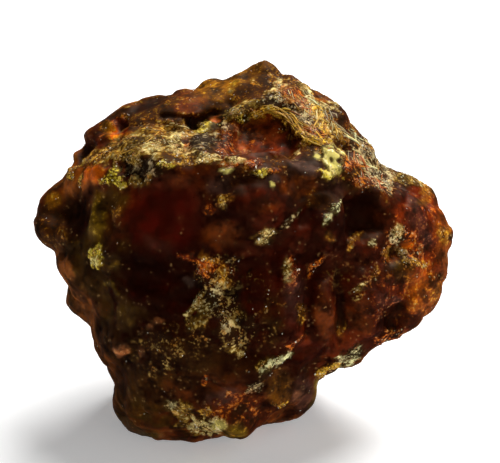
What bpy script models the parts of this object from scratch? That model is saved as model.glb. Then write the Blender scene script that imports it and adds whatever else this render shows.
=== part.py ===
"""Raw copal: one knobbly lump of hardened tree resin, grown and broken as a single piece.

The lump is worked out in its own axes: across (to the right), up, and near (out of its broad
face). It is then leaned back and set on the worn flat under it, so that +Z is up, and the
origin is at the middle of its box, on the surface that it lies on.
"""

import math

import bmesh
import bpy
import numpy as np

# Driving dimensions, in millimetres unless they say otherwise
MM = 0.001
DIVISIONS = 27  # squares along each edge of the cube that is blown up into the lump
NEAR_DEPTH = 24.0  # from the lump's middle out to its broad face, before it is chipped flat
FAR_DEPTH = 23.0  # from the middle to its back
SQUARENESS = 0.84  # 1 is an ellipsoid, and less is boxier
LEAN = math.radians(25.0)  # how far the broad face leans back
MIDDLE_HEIGHT = 24.2  # of the lump's middle above what it lies on
MIDDLE_OFFSET = (0.83, 0.77)  # of the lump's middle from the middle of its box, in X and Y
RIM_BAND = 9.0  # how far from the outline, near or far, its small bumps fade out

# The outline round the broad face: an angle in degrees from "across", and a radius
OUTLINE = (
    (0, 29.1), (6, 29.9), (14, 29.1), (20, 28.6), (26, 26.2), (32, 23.8), (41, 23.4),
    (50, 24.1), (58, 25.4), (67, 25.7), (74, 26.5), (80, 27.3), (85, 28.1), (90, 26.8),
    (96, 25.6), (103, 26.0), (108, 25.3), (117, 26.1), (127, 27.4), (138, 28.4),
    (148, 28.9), (152, 28.0), (158, 28.9), (163, 30.2), (170, 30.8), (175, 29.9),
    (180, 27.4), (190, 26.2), (196, 26.6), (205, 25.0), (213, 25.7), (224, 26.6),
    (229, 29.6), (236, 31.5), (242, 31.2), (248, 28.6), (255, 27.7), (263, 26.7),
    (269, 26.9), (274, 25.0), (288, 24.9), (295, 23.6), (300, 21.4), (308, 21.1),
    (317, 22.6), (325, 22.8), (332, 25.3), (341, 27.6), (347, 28.5), (353, 29.3),
)

# Old breaks: which way each faces (across, up, near), how far it lies from the middle,
# and how softly it rounds into its neighbours
BREAKS = (
    ((-0.05, -0.12, 1.00), 18.6, 1.5),
    ((0.02, 0.76, 0.65), 21.2, 1.2),
    ((0.62, 0.05, 0.78), 21.4, 1.6),
    ((0.45, -0.60, 0.66), 20.6, 1.6),
    ((-0.78, 0.16, 0.60), 23.4, 1.6),
    ((-0.60, -0.55, 0.58), 22.8, 1.6),
    ((0.12, 0.28, -0.95), 18.8, 1.6),
    ((-0.66, 0.12, -0.74), 21.0, 1.8),
    ((0.70, -0.10, -0.70), 20.4, 1.8),
    ((-0.10, -0.52, -0.85), 22.0, 1.6),
    ((0.25, 0.86, -0.45), 22.4, 1.4),
    ((-0.42, 0.70, -0.58), 22.8, 1.4),
)

# Lumps (rise above 0) and hollows (below 0): the middle of each (across, up, near), its half
# sizes along them, its turn in degrees on the broad face, its rise, and how full its edge is
BOSSES = (
    # broad face, from the top down
    ((2.4, 17.0, 14.0), (5.8, 4.6, 12.0), -8, -2.6, 1.0),  # recess below the brow
    ((12.6, 19.6, 8.0), (7.0, 5.5, 14.0), -40, 1.3, 1.5),  # dome right of the brow
    ((-9.0, 14.6, 15.0), (11.0, 2.8, 12.0), 6, 0.9, 1.5),  # crusted shelf
    ((-15.0, 22.6, 8.0), (7.0, 2.4, 12.0), 14, 0.9, 1.3),  # plate behind the cleft
    ((-10.1, 5.9, 18.0), (5.6, 5.6, 14.0), 0, -1.5, 1.2),  # window
    ((1.2, 6.0, 18.0), (7.4, 5.0, 14.0), 5, 1.4, 1.5),  # smooth swelling
    ((9.2, 11.6, 16.0), (3.6, 2.4, 12.0), -15, 0.9, 1.2),
    ((16.8, 5.4, 13.0), (4.2, 4.2, 12.0), 10, -3.0, 1.0),  # deep hollow
    ((9.3, 5.9, 16.0), (4.4, 2.0, 12.0), 32, -1.5, 1.0),
    ((-27.0, 3.6, 6.0), (3.2, 3.6, 10.0), 0, 0.8, 1.3),  # left knob and the pit in it
    ((-24.5, 6.2, 8.0), (2.4, 3.8, 11.0), 0, -1.6, 1.0),
    ((-20.8, 3.0, 12.0), (1.9, 5.4, 12.0), -6, 1.0, 1.2),
    ((-22.8, 15.0, 5.0), (2.4, 1.9, 9.0), 30, -1.3, 1.0),
    ((-14.2, -2.6, 15.0), (6.6, 3.2, 12.0), -8, -1.9, 1.1),
    ((-8.0, -4.2, 17.0), (2.4, 2.3, 12.0), 0, -1.4, 1.0),
    ((-4.4, -2.6, 18.0), (2.4, 5.0, 12.0), 26, 1.2, 1.4),  # sandy rib
    ((-4.0, -9.4, 17.0), (4.0, 3.0, 12.0), -35, 0.9, 1.4),
    ((5.8, -1.4, 16.0), (1.9, 2.6, 12.0), 8, 0.9, 1.2),
    ((11.0, -2.2, 15.0), (3.4, 1.9, 12.0), 20, -1.2, 1.0),
    ((24.0, 3.5, 5.0), (4.6, 6.4, 11.0), 10, 1.1, 1.3),  # right lobe
    ((23.0, -1.8, 9.0), (3.0, 2.6, 11.0), 0, 1.1, 1.2),
    ((21.3, -8.4, 9.0), (2.6, 2.8, 10.0), 0, -1.4, 1.0),
    ((17.4, -7.6, 12.0), (3.0, 4.8, 12.0), 14, 1.1, 1.1),  # three upright fingers
    ((11.0, -8.2, 14.0), (2.8, 5.4, 12.0), 6, 1.0, 1.1),
    ((5.6, -9.4, 15.0), (2.9, 4.4, 12.0), -8, 1.1, 1.1),
    ((2.0, -12.6, 16.0), (5.2, 3.8, 12.0), 30, -0.8, 1.3),
    ((-17.5, -11.5, 12.0), (4.6, 3.8, 12.0), 20, 1.1, 1.4),
    ((-10.5, -14.0, 14.0), (5.0, 3.4, 12.0), -20, 0.8, 1.3),
    ((-14.6, -21.5, 9.0), (5.2, 4.2, 12.0), 0, 1.4, 1.3),  # lower left knob
    ((-5.5, -18.6, 13.0), (5.0, 2.6, 12.0), -8, -1.1, 1.3),
    ((-1.5, -23.5, 8.0), (3.4, 2.6, 10.0), 0, 1.1, 1.2),
    ((4.6, -19.2, 10.0), (2.8, 2.4, 11.0), 0, 1.0, 1.2),  # lower right knobs
    ((9.0, -20.6, 7.0), (3.4, 3.6, 10.0), 20, 1.1, 1.2),
    ((10.6, -15.6, 9.0), (3.4, 2.0, 10.0), 30, -1.0, 1.1),
    # outline
    ((2.6, 26.5, 0.0), (4.4, 3.4, 7.0), 0, 0.9, 1.3),
    ((-4.8, 24.6, -1.0), (4.0, 3.0, 6.0), 10, 0.7, 1.3),
    ((-28.5, 4.8, 1.0), (4.6, 5.4, 8.0), 0, 1.0, 1.2),
    ((-25.0, -7.5, 0.0), (3.4, 4.2, 7.0), 15, 0.8, 1.3),
    ((28.6, 2.6, 0.0), (2.6, 2.2, 6.0), 0, 0.8, 1.1),
    ((27.5, -7.0, -1.0), (4.0, 4.6, 8.0), 0, 0.8, 1.3),
    # under it and behind
    ((-1.0, -22.0, -11.0), (17.0, 8.0, 13.0), 0, 2.2, 1.3),  # worn foot
    ((-10.0, 8.0, -19.0), (8.0, 6.5, 14.0), 0, 1.4, 1.4),
    ((11.0, 10.0, -18.0), (6.0, 7.0, 14.0), 20, -1.8, 1.2),
    ((4.0, -3.0, -20.0), (7.0, 5.0, 14.0), -20, 1.3, 1.4),
    ((-14.0, -7.0, -16.0), (5.5, 5.0, 12.0), 0, -1.6, 1.1),
    ((17.0, -6.0, -14.0), (5.0, 5.5, 12.0), 0, 1.3, 1.2),
    ((-2.0, 20.0, -11.0), (6.5, 4.0, 10.0), 0, -1.3, 1.2),
    ((-21.0, 13.0, -8.0), (4.6, 5.2, 10.0), 30, 1.2, 1.2),
    ((20.0, 9.5, -9.0), (4.0, 4.0, 9.0), 0, -1.5, 1.0),
)

# Ledges (rise above 0) and clefts (below 0) that run over the broad face: the points that each
# passes (across, up), its half width and its rise
LEDGES = (
    (((-25.0, 11.6), (-17.0, 10.6), (-12.0, 12.8), (-3.0, 12.0), (6.5, 12.4), (13.5, 12.0)), 1.7, 0.9),
    (((-3.5, 19.6), (1.5, 21.2), (5.8, 20.8), (9.4, 17.0), (12.2, 14.2)), 1.5, 1.3),
    (((-20.5, 19.0), (-13.6, 20.4), (-10.0, 19.6), (-7.4, 18.6), (-3.8, 20.4)), 1.6, -2.0),
    (((14.0, 16.0), (17.5, 12.5), (21.5, 10.8)), 2.0, -1.0),
    (((13.2, 7.6), (12.4, 4.8), (11.6, 1.6)), 1.4, 1.0),
    (((9.6, 0.8), (4.5, -2.6), (0.5, -1.4)), 1.5, -1.0),
    (((14.2, -3.0), (14.4, -7.4), (13.4, -11.6)), 1.4, -1.0),
    (((8.6, -4.4), (8.2, -8.0), (8.8, -12.0)), 1.4, -1.0),
    (((10.6, -11.6), (6.4, -14.2), (2.0, -15.8), (-3.0, -16.6)), 1.4, 0.9),
    (((-20.0, -4.5), (-19.5, -9.0), (-22.0, -14.0)), 1.5, -0.9),
    (((-8.0, 1.2), (-5.0, 0.2), (-1.4, -1.0)), 1.5, 0.8),
)

# Ridges and hollows that run through the whole lump: their size, their rise and their seed
SWELLS = ((21.0, 1.3, 11), (11.0, 0.8, 12))
# Resin beads: the size of each, its rise and its seed
BEADS = ((8.2, 1.5, 21), (4.7, 0.85, 22))

RESIN_COLOUR = (0.10, 0.028, 0.009, 1.0)
RESIN_ROUGHNESS = 0.28


def lattice_hash(cells, seed):
    """A number from 0 to 1 for each whole-numbered cell, always the same for a seed."""
    mixed = cells[..., 0] * 73856093 ^ cells[..., 1] * 19349663 ^ cells[..., 2] * 83492791
    mixed = (mixed ^ seed * 2654435761) & 0xFFFFFFFF
    mixed = ((mixed ^ mixed >> 15) * 1274126177) & 0xFFFFFFFF
    mixed = ((mixed ^ mixed >> 13) * 1103515245) & 0xFFFFFFFF
    return (mixed ^ mixed >> 16 & 0xFFFF) % 65536 / 65535.0


def smooth_noise(points, size, seed):
    """Gradient noise, about -1 to 1: slopes drawn at the corners of cells, blended inside them."""
    scaled = points / size + 0.37 * seed
    cell = np.floor(scaled).astype(np.int64)
    inside = scaled - cell
    fade = inside**3 * (inside * (inside * 6 - 15) + 10)
    total = np.zeros(len(points))
    for corner in np.ndindex(2, 2, 2):
        at = cell + corner
        slope = np.stack([lattice_hash(at, seed + 7 * axis) for axis in range(3)], axis=1) * 2 - 1
        share = np.prod(np.where(corner, fade, 1 - fade), axis=1)
        total += share * np.sum(slope * (inside - corner), axis=1)
    return total * 1.4


def bead_field(points, size, seed):
    """Rounded beads, 1 at each bead's crown and 0 in the creases: one bead in each jittered cell."""
    scaled = points / size
    cell = np.floor(scaled).astype(np.int64)
    nearest = np.full(len(points), 9.0)
    for step in np.ndindex(3, 3, 3):
        at = cell + step - 1
        crown = at + np.stack([lattice_hash(at, seed + 5 * axis) for axis in range(3)], axis=1)
        nearest = np.minimum(nearest, np.sum((scaled - crown) ** 2, axis=1))
    return np.clip(1 - nearest / 0.62, 0, 1)


def smooth_step(value):
    value = np.clip(value, 0, 1)
    return value * value * (3 - 2 * value)


def outline_radius(angle):
    """The outline's radius at angles in radians: a cubic through the points of OUTLINE, closed."""
    marks = np.radians([mark for mark, _ in OUTLINE])
    radii = np.array([radius for _, radius in OUTLINE])
    marks = np.concatenate([marks - 2 * math.pi, marks, marks + 2 * math.pi])
    radii = np.tile(radii, 3)
    slopes = (np.roll(radii, -1) - np.roll(radii, 1)) / (np.roll(marks, -1) - np.roll(marks, 1))
    angle = np.mod(angle, 2 * math.pi)
    before = np.searchsorted(marks, angle, side="right") - 1
    span = marks[before + 1] - marks[before]
    t = (angle - marks[before]) / span
    return (
        radii[before] * (1 + 2 * t) * (1 - t) ** 2
        + radii[before + 1] * t * t * (3 - 2 * t)
        + slopes[before] * span * t * (1 - t) ** 2
        - slopes[before + 1] * span * t * t * (1 - t)
    )


def soft_outline_radius(angle):
    """The outline with its small bumps smoothed away: its mean over a sector of 36 degrees."""
    turns = np.radians(np.linspace(-18, 18, 13))
    return np.mean([outline_radius(angle + turn) for turn in turns], axis=0)


def blown_up(directions):
    """A boxy ellipsoid: the outline's radii across and up, and its own depths near and far."""
    angle = np.arctan2(directions[:, 1], directions[:, 0])
    ring = np.hypot(directions[:, 0], directions[:, 1])
    near = directions[:, 2]
    radius = soft_outline_radius(angle) * ring**SQUARENESS
    depth = np.where(near > 0, NEAR_DEPTH, FAR_DEPTH) * np.abs(near) ** SQUARENESS * np.sign(near)
    return np.stack([radius * np.cos(angle), radius * np.sin(angle), depth], axis=1)


def chipped(points):
    """Each break presses what stands beyond its plane back onto it, by a soft maximum."""
    for facing, distance, softness in BREAKS:
        facing = np.array(facing) / np.linalg.norm(facing)
        beyond = (points @ facing - distance) / softness
        over = softness * np.logaddexp(0, beyond)
        points = points - over[:, None] * facing
    return points


def surface_normals(points, faces):
    """The normal at each point: the sum of its squares' cross products, made one long."""
    corners = points[faces]
    cross = np.cross(corners[:, 2] - corners[:, 0], corners[:, 3] - corners[:, 1])
    normals = np.zeros_like(points)
    for corner in range(4):
        np.add.at(normals, faces[:, corner], cross)
    return normals / np.linalg.norm(normals, axis=1)[:, None]


def boss_rise(points):
    """The sum of the bosses: each is (1 - q) to its edge's power, q its squared ellipsoid distance."""
    rise = np.zeros(len(points))
    for middle, halves, turn, height, edge in BOSSES:
        across, up, near = (points - middle).T
        cosine, sine = math.cos(math.radians(turn)), math.sin(math.radians(turn))
        along, beside = across * cosine + up * sine, up * cosine - across * sine
        q = (along / halves[0]) ** 2 + (beside / halves[1]) ** 2 + (near / halves[2]) ** 2
        rise += height * np.clip(1 - q, 0, 1) ** edge * np.clip(1.6 * (1 - q), 0, 1)
    return rise


def distance_to_line(points, line):
    """The distance from each point, seen square to the broad face, to a line through a few points."""
    nearest = np.full(len(points), np.inf)
    flat = points[:, :2]
    for start, end in zip(line, line[1:]):
        start, run = np.array(start), np.subtract(end, start)
        t = np.clip((flat - start) @ run / (run @ run), 0, 1)
        nearest = np.minimum(nearest, np.linalg.norm(flat - start - t[:, None] * run, axis=1))
    return nearest


def ledge_rise(points):
    """The sum of the ledges and clefts, which fade out before they turn on to the back."""
    wander = 0.8 * smooth_noise(points, 4.0, 31)
    fade = smooth_step((points[:, 2] - 1.0) / 6.0)
    rise = np.zeros(len(points))
    for line, half_width, height in LEDGES:
        away = (distance_to_line(points, line) + wander) / half_width
        rise += height * np.exp(-np.clip(away, 0, None) ** 2)
    return rise * fade


def worn_flat(points):
    """Presses what reaches beyond the resting face, which faces down once the lump is leaned."""
    down = np.array([0.0, -math.cos(LEAN), -math.sin(LEAN)])
    beyond = np.clip(points @ down - MIDDLE_HEIGHT, 0, None)
    return points - beyond[:, None] * down


def fitted_to_outline(points):
    """Scales each sector across and up, so that the lump's outline has the radii of OUTLINE."""
    angle = np.arctan2(points[:, 1], points[:, 0])
    radius = np.hypot(points[:, 0], points[:, 1])
    sectors = 120
    sector = np.floor(np.mod(angle, 2 * math.pi) / (2 * math.pi) * sectors).astype(int) % sectors
    reach = np.zeros(sectors)
    np.maximum.at(reach, sector, radius)
    reach = (np.roll(reach, 1) + 2 * reach + np.roll(reach, -1)) / 4
    middles = (np.arange(sectors) + 0.5) * 2 * math.pi / sectors
    here = np.interp(np.mod(angle, 2 * math.pi), middles, reach, period=2 * math.pi)
    soft = soft_outline_radius(angle) / here
    sharp = outline_radius(angle) / here
    rim = np.exp(-((points[:, 2] / RIM_BAND) ** 2)) * smooth_step((radius / here - 0.6) / 0.35)
    scale = 1 + (soft - 1) * smooth_step(radius / here / 0.9) * (1 - rim) + (sharp - 1) * rim
    return points * np.stack([scale, scale, np.ones(len(points))], axis=1)


def leaned_and_set_down(points):
    """Leans the broad face back, and flattens what would reach below the resting face."""
    across, up, near = points.T
    back = up * math.sin(LEAN) - near * math.cos(LEAN)
    height = up * math.cos(LEAN) + near * math.sin(LEAN) + MIDDLE_HEIGHT
    x, y = across + MIDDLE_OFFSET[0], back + MIDDLE_OFFSET[1]
    return np.stack([x, y, np.maximum(height, 0.0)], axis=1)


def lump_points(directions, faces):
    """The whole form, for directions on a sphere and the squares that join them."""
    points = chipped(blown_up(directions))
    normals = surface_normals(points, faces)
    rise = sum(height * smooth_noise(points, size, seed) for size, height, seed in SWELLS)
    points = points + (rise + boss_rise(points) + ledge_rise(points))[:, None] * normals
    normals = surface_normals(points, faces)
    rise = sum(height * (bead_field(points, size, seed) - 0.5) for size, height, seed in BEADS)
    points = points + rise[:, None] * normals
    return leaned_and_set_down(fitted_to_outline(worn_flat(points)))


def add_lump():
    """A cube cut into squares, blown up to a sphere of even squares, then shaped."""
    form = bmesh.new()
    bmesh.ops.create_cube(form, size=2.0)
    bmesh.ops.subdivide_edges(form, edges=form.edges[:], cuts=DIVISIONS - 1, use_grid_fill=True)
    form.verts.ensure_lookup_table()
    cube = np.array([vert.co for vert in form.verts])
    faces = np.array([[vert.index for vert in face.verts] for face in form.faces])
    directions = np.tan(cube * math.pi / 4)
    directions /= np.linalg.norm(directions, axis=1)[:, None]
    for vert, place in zip(form.verts, lump_points(directions, faces) * MM):
        vert.co = place
    bmesh.ops.triangulate(form, faces=form.faces[:])
    mesh = bpy.data.meshes.new("copal_lump")
    form.to_mesh(mesh)
    form.free()
    mesh.shade_smooth()
    lump = bpy.data.objects.new("copal_lump", mesh)
    bpy.context.scene.collection.objects.link(lump)
    return lump


def resin_material():
    """Dark red-brown resin with a low gloss."""
    material = bpy.data.materials.new("copal_resin")
    material.use_nodes = True
    shader = material.node_tree.nodes["Principled BSDF"]
    shader.inputs["Base Color"].default_value = RESIN_COLOUR
    shader.inputs["Roughness"].default_value = RESIN_ROUGHNESS
    shader.inputs["Metallic"].default_value = 0.0
    return material


def main():
    for obj in list(bpy.data.objects):
        bpy.data.objects.remove(obj)
    lump = add_lump()
    lump.data.materials.append(resin_material())


main()
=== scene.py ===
"""Raw copal: the looks of one rough lump of tree resin.

The lump is see-through amber where it is bare and thin, dark where it is thick, and partly under
an opaque weathered crust. Everything is worked out in the lump's own axes, in millimetres: across
(to the right), up, and near (out of the broad face), and then leaned back and set on its flat.
"""

import logging
import math
from dataclasses import dataclass, field
from enum import Enum, IntEnum
from itertools import combinations

import bpy
import numpy as np
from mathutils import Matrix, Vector


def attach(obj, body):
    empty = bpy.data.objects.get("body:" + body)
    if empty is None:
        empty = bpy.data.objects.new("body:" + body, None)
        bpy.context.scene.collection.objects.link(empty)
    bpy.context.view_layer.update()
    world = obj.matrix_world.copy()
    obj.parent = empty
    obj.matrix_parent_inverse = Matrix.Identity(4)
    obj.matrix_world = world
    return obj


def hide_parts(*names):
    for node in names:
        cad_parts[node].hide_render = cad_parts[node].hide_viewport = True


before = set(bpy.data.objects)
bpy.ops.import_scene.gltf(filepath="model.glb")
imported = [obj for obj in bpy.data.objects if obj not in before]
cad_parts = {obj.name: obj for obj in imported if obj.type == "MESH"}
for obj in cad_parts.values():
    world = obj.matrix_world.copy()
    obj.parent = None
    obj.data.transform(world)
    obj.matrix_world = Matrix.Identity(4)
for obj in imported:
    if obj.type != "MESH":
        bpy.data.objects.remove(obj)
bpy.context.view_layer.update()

Array = np.ndarray
Colour = tuple[float, float, float]
Pairs = tuple[tuple[float, float], ...]

MM = 0.001
NODE = "copal_lump"
BODY = "root"
log = logging.getLogger("raw_copal")

# how whole numbers are scrambled into chance
CELL_PRIMES = np.array((73856093, 19349663, 83492791))
SEED_PRIME = 2654435761
SCRAMBLES = ((15, 1274126177), (13, 1103515245))
WORD = 0xFFFFFFFF
LOW_HALF = 0xFFFF

SEED_SHIFT = 0.37
NOISE_GAIN = 1.4
BEAD_REACH = 0.62


class Seed(IntEnum):
    """Where each noise and each draw starts; a noise in layers takes the numbers after it too."""

    WANDER = 31
    RESIN = 41
    CRUST = 44
    COVER = 47
    PUSH = 51
    FRAY = 55
    BEAD = 61
    GRAIN = 62
    GRIT = 63
    CRAG = 64
    CLUMP = 71
    CRUMBS = 82
    SAND = 83
    STRANDS = 91


# ---------------------------------------------------------------- fields over space


def lattice_hash(cells: Array, seed: int) -> Array:
    """A number from 0 to 1 for each whole-numbered cell, always the same for a seed.

    Args:
        cells: whole numbers, three to a cell.
        seed: which of the many hashes to use.

    Returns:
        One number for each cell.
    """
    mixed = np.bitwise_xor.reduce(cells * CELL_PRIMES, axis=-1)
    mixed = (mixed ^ seed * SEED_PRIME) & WORD
    for shift, factor in SCRAMBLES:
        mixed = ((mixed ^ mixed >> shift) * factor) & WORD
    return ((mixed ^ mixed >> 16) & LOW_HALF) / LOW_HALF


def lattice_vectors(cells: Array, seed: int, stride: int) -> Array:
    """Three numbers from 0 to 1 for each cell, from hashes some seeds apart."""
    return np.stack([lattice_hash(cells, seed + stride * axis) for axis in range(3)], axis=1)


def smooth_noise(points: Array, size: float, seed: int) -> Array:
    """Gradient noise: slopes drawn at the corners of cells, blended inside them.

    Args:
        points: places in millimetres, one to a row.
        size: the size of a cell.
        seed: which of the many noises to use.

    Returns:
        About -1 to 1 for each place.
    """
    scaled = points / size + SEED_SHIFT * seed
    cell = np.floor(scaled).astype(np.int64)
    inside = scaled - cell
    fade = inside**3 * (inside * (inside * 6 - 15) + 10)
    total = np.zeros(len(points))
    for corner in np.ndindex(2, 2, 2):
        slope = lattice_vectors(cell + corner, seed, 7) * 2 - 1
        share = np.prod(np.where(corner, fade, 1 - fade), axis=1)
        total += share * np.sum(slope * (inside - corner), axis=1)
    return total * NOISE_GAIN


def layered_noise(points: Array, layers: Pairs, seed: int, stride: int = 1) -> Array:
    """The sum of gradient noises, each by its height and its size, from seeds a stride apart."""
    seeds = range(seed, seed + stride * len(layers), stride)
    return sum(high * smooth_noise(points, size, at) for (high, size), at in zip(layers, seeds))


def ridged_noise(points: Array, size: float, seed: int) -> Array:
    """Sharp crests with rounded hollows between them: 1 less twice the gradient noise's size."""
    return 1 - 2 * np.abs(smooth_noise(points, size, seed))


def bead_field(points: Array, size: float, seed: int) -> Array:
    """Rounded beads, one in each jittered cell: 1 less the squared distance to a crown, over a reach.

    Args:
        points: places in millimetres, one to a row.
        size: the size of a cell.
        seed: which of the many layouts to use.

    Returns:
        1 at each bead's crown and 0 in the creases.
    """
    scaled = points / size
    cell = np.floor(scaled).astype(np.int64)
    nearest = np.full(len(points), np.inf)
    for step in np.ndindex(3, 3, 3):
        at = cell + step - 1
        crown = at + lattice_vectors(at, seed, 5)
        nearest = np.minimum(nearest, np.sum((scaled - crown) ** 2, axis=1))
    return np.clip(1 - nearest / BEAD_REACH, 0, 1)


def smooth_step(value: Array) -> Array:
    """0 below 0, 1 above 1 and a smooth cubic between them."""
    value = np.clip(value, 0, 1)
    return value * value * (3 - 2 * value)


def between(under: Array, over: Array, share: Array) -> Array:
    """`under` where the share is 0, `over` where it is 1, and in proportion between them."""
    return under * (1 - share) + over * share


def unit(vectors: Array, least: float = 0.0) -> Array:
    """Each vector over its length, to which something may be added to keep it from 0."""
    return vectors / (np.linalg.norm(vectors, axis=-1)[..., None] + least)


def on_ellipse(across: Array, up: Array, halves: tuple[float, ...], turn: float) -> tuple[Array, Array]:
    """Places along and beside an ellipse turned by some degrees, over its half sizes."""
    cosine, sine = math.cos(math.radians(turn)), math.sin(math.radians(turn))
    return (across * cosine + up * sine) / halves[0], (up * cosine - across * sine) / halves[1]


def distance_to_line(flat: Array, line: Pairs) -> Array:
    """The distance to a line through a few points: the least over its straight runs.

    Args:
        flat: places on a plane, one to a row.
        line: the points that the line passes.

    Returns:
        One distance for each place.
    """
    nearest = np.full(len(flat), np.inf)
    for start, end in zip(line, line[1:]):
        start, run = np.array(start), np.subtract(end, start)
        t = np.clip((flat - start) @ run / (run @ run), 0, 1)
        nearest = np.minimum(nearest, np.linalg.norm(flat - start - t[:, None] * run, axis=1))
    return nearest


# ---------------------------------------------------------------- grids and meshes


@dataclass
class BlownCube:
    """Six square grids, blown up to a sphere of nearly even squares.

    Attributes:
        cells: squares along each edge of the cube.
    """

    cells: int

    def grids(self) -> tuple[Array, Array]:
        """Each side of the cube is a grid of two parameters; shared edges are joined by number.

        Returns:
            Unit directions, one to a point, and the four points of each square, facing out.
        """
        steps = np.arange(self.cells + 1)
        first, second = np.meshgrid(steps, steps, indexing="ij")
        number = np.arange((self.cells + 1) ** 2).reshape(self.cells + 1, self.cells + 1)
        places, squares = [], []
        for axis in range(3):
            others = [other for other in range(3) if other != axis]
            for side in (0, self.cells):
                place = np.empty((self.cells + 1, self.cells + 1, 3), dtype=np.int64)
                place[..., axis] = side
                place[..., others[0]] = first
                place[..., others[1]] = second
                corners = [number[:-1, :-1], number[1:, :-1], number[1:, 1:], number[:-1, 1:]]
                square = np.stack(corners, axis=-1).reshape(-1, 4) + len(places) * number.size
                if (side == 0) != (axis == 1):
                    square = square[:, ::-1]
                places.append(place.reshape(-1, 3))
                squares.append(square)
        place = np.concatenate(places)
        code = (place[:, 0] * (self.cells + 1) + place[:, 1]) * (self.cells + 1) + place[:, 2]
        _, kept, joined = np.unique(code, return_index=True, return_inverse=True)
        directions = np.tan((2 * place[kept] / self.cells - 1) * math.pi / 4)
        return unit(directions), joined.reshape(-1)[np.concatenate(squares)]


def square_crosses(points: Array, squares: Array) -> Array:
    """The cross product of each square's diagonals: along its normal, twice its area long."""
    corners = points[squares]
    return np.cross(corners[:, 2] - corners[:, 0], corners[:, 3] - corners[:, 1])


def surface_normals(points: Array, squares: Array) -> Array:
    """The normal at each point: the sum of its squares' cross products, made one long.

    Args:
        points: the surface's points.
        squares: four points to a square.

    Returns:
        A unit normal for each point.
    """
    cross = square_crosses(points, squares)
    normals = np.zeros_like(points)
    for axis in range(3):
        spread = np.repeat(cross[:, axis], 4)
        normals[:, axis] = np.bincount(squares.ravel(), spread, len(points))
    return unit(normals)


def smoothed(points: Array, squares: Array, rounds: int) -> Array:
    """Each round moves every point to the mean of its neighbours along the grid.

    Args:
        points: the surface's points.
        squares: four points to a square.
        rounds: how many times.

    Returns:
        The points after the last round.
    """
    start = np.concatenate([squares[:, corner] for corner in range(4)])
    end = np.concatenate([squares[:, (corner + 1) % 4] for corner in range(4)])
    count = np.bincount(start, minlength=len(points))[:, None]
    for _ in range(rounds):
        sums = [np.bincount(start, points[end, axis], len(points)) for axis in range(3)]
        points = np.stack(sums, axis=1) / count
    return points


def add_piece(name: str, points: Array, faces: Array) -> bpy.types.Object:
    """Makes a mesh object at the origin from points in metres.

    Args:
        name: the piece's name.
        points: its points in metres, in the frame's axes.
        faces: three or four points to a face.

    Returns:
        The new object, shaded smooth.
    """
    mesh = bpy.data.meshes.new(name)
    sides = faces.shape[1]
    mesh.vertices.add(len(points))
    mesh.vertices.foreach_set("co", points.astype(np.float32).ravel())
    mesh.loops.add(faces.size)
    mesh.loops.foreach_set("vertex_index", faces.astype(np.int32).ravel())
    mesh.polygons.add(len(faces))
    mesh.polygons.foreach_set("loop_start", np.arange(0, faces.size, sides, dtype=np.int32))
    mesh.update(calc_edges=True)
    mesh.shade_smooth()
    piece = bpy.data.objects.new(name, mesh)
    bpy.context.scene.collection.objects.link(piece)
    return piece


def add_field(piece: bpy.types.Object, name: str, values: Array) -> None:
    """Stores a number or a vector for each point of a piece, which its finish reads by name.

    Args:
        piece: the object.
        name: the attribute's name.
        values: one row to a point.
    """
    if values.ndim == 1:
        made = piece.data.attributes.new(name, "FLOAT", "POINT")
        made.data.foreach_set("value", values.astype(np.float32))
    else:
        made = piece.data.attributes.new(name, "FLOAT_VECTOR", "POINT")
        made.data.foreach_set("vector", values.astype(np.float32).ravel())


# ---------------------------------------------------------------- the form of the lump


@dataclass(frozen=True)
class Break:
    """An old break: the way it faces, its distance from the middle and how softly it rounds."""

    facing: tuple[float, float, float]
    distance: float
    softness: float


@dataclass(frozen=True)
class Boss:
    """A lump (rise above 0) or a hollow (below 0) of ellipsoid reach."""

    middle: tuple[float, float, float]
    halves: tuple[float, float, float]
    turn: float
    rise: float
    edge: float


@dataclass(frozen=True)
class Ledge:
    """A ledge (rise above 0) or a cleft (below 0) over the broad face."""

    line: Pairs
    half_width: float
    rise: float


def bosses_of(*rows: tuple[float, ...]) -> tuple[Boss, ...]:
    """One boss to a row: its middle, its three half sizes, turn, rise and edge."""
    return tuple(Boss(row[:3], row[3:6], *row[6:]) for row in rows)


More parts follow.
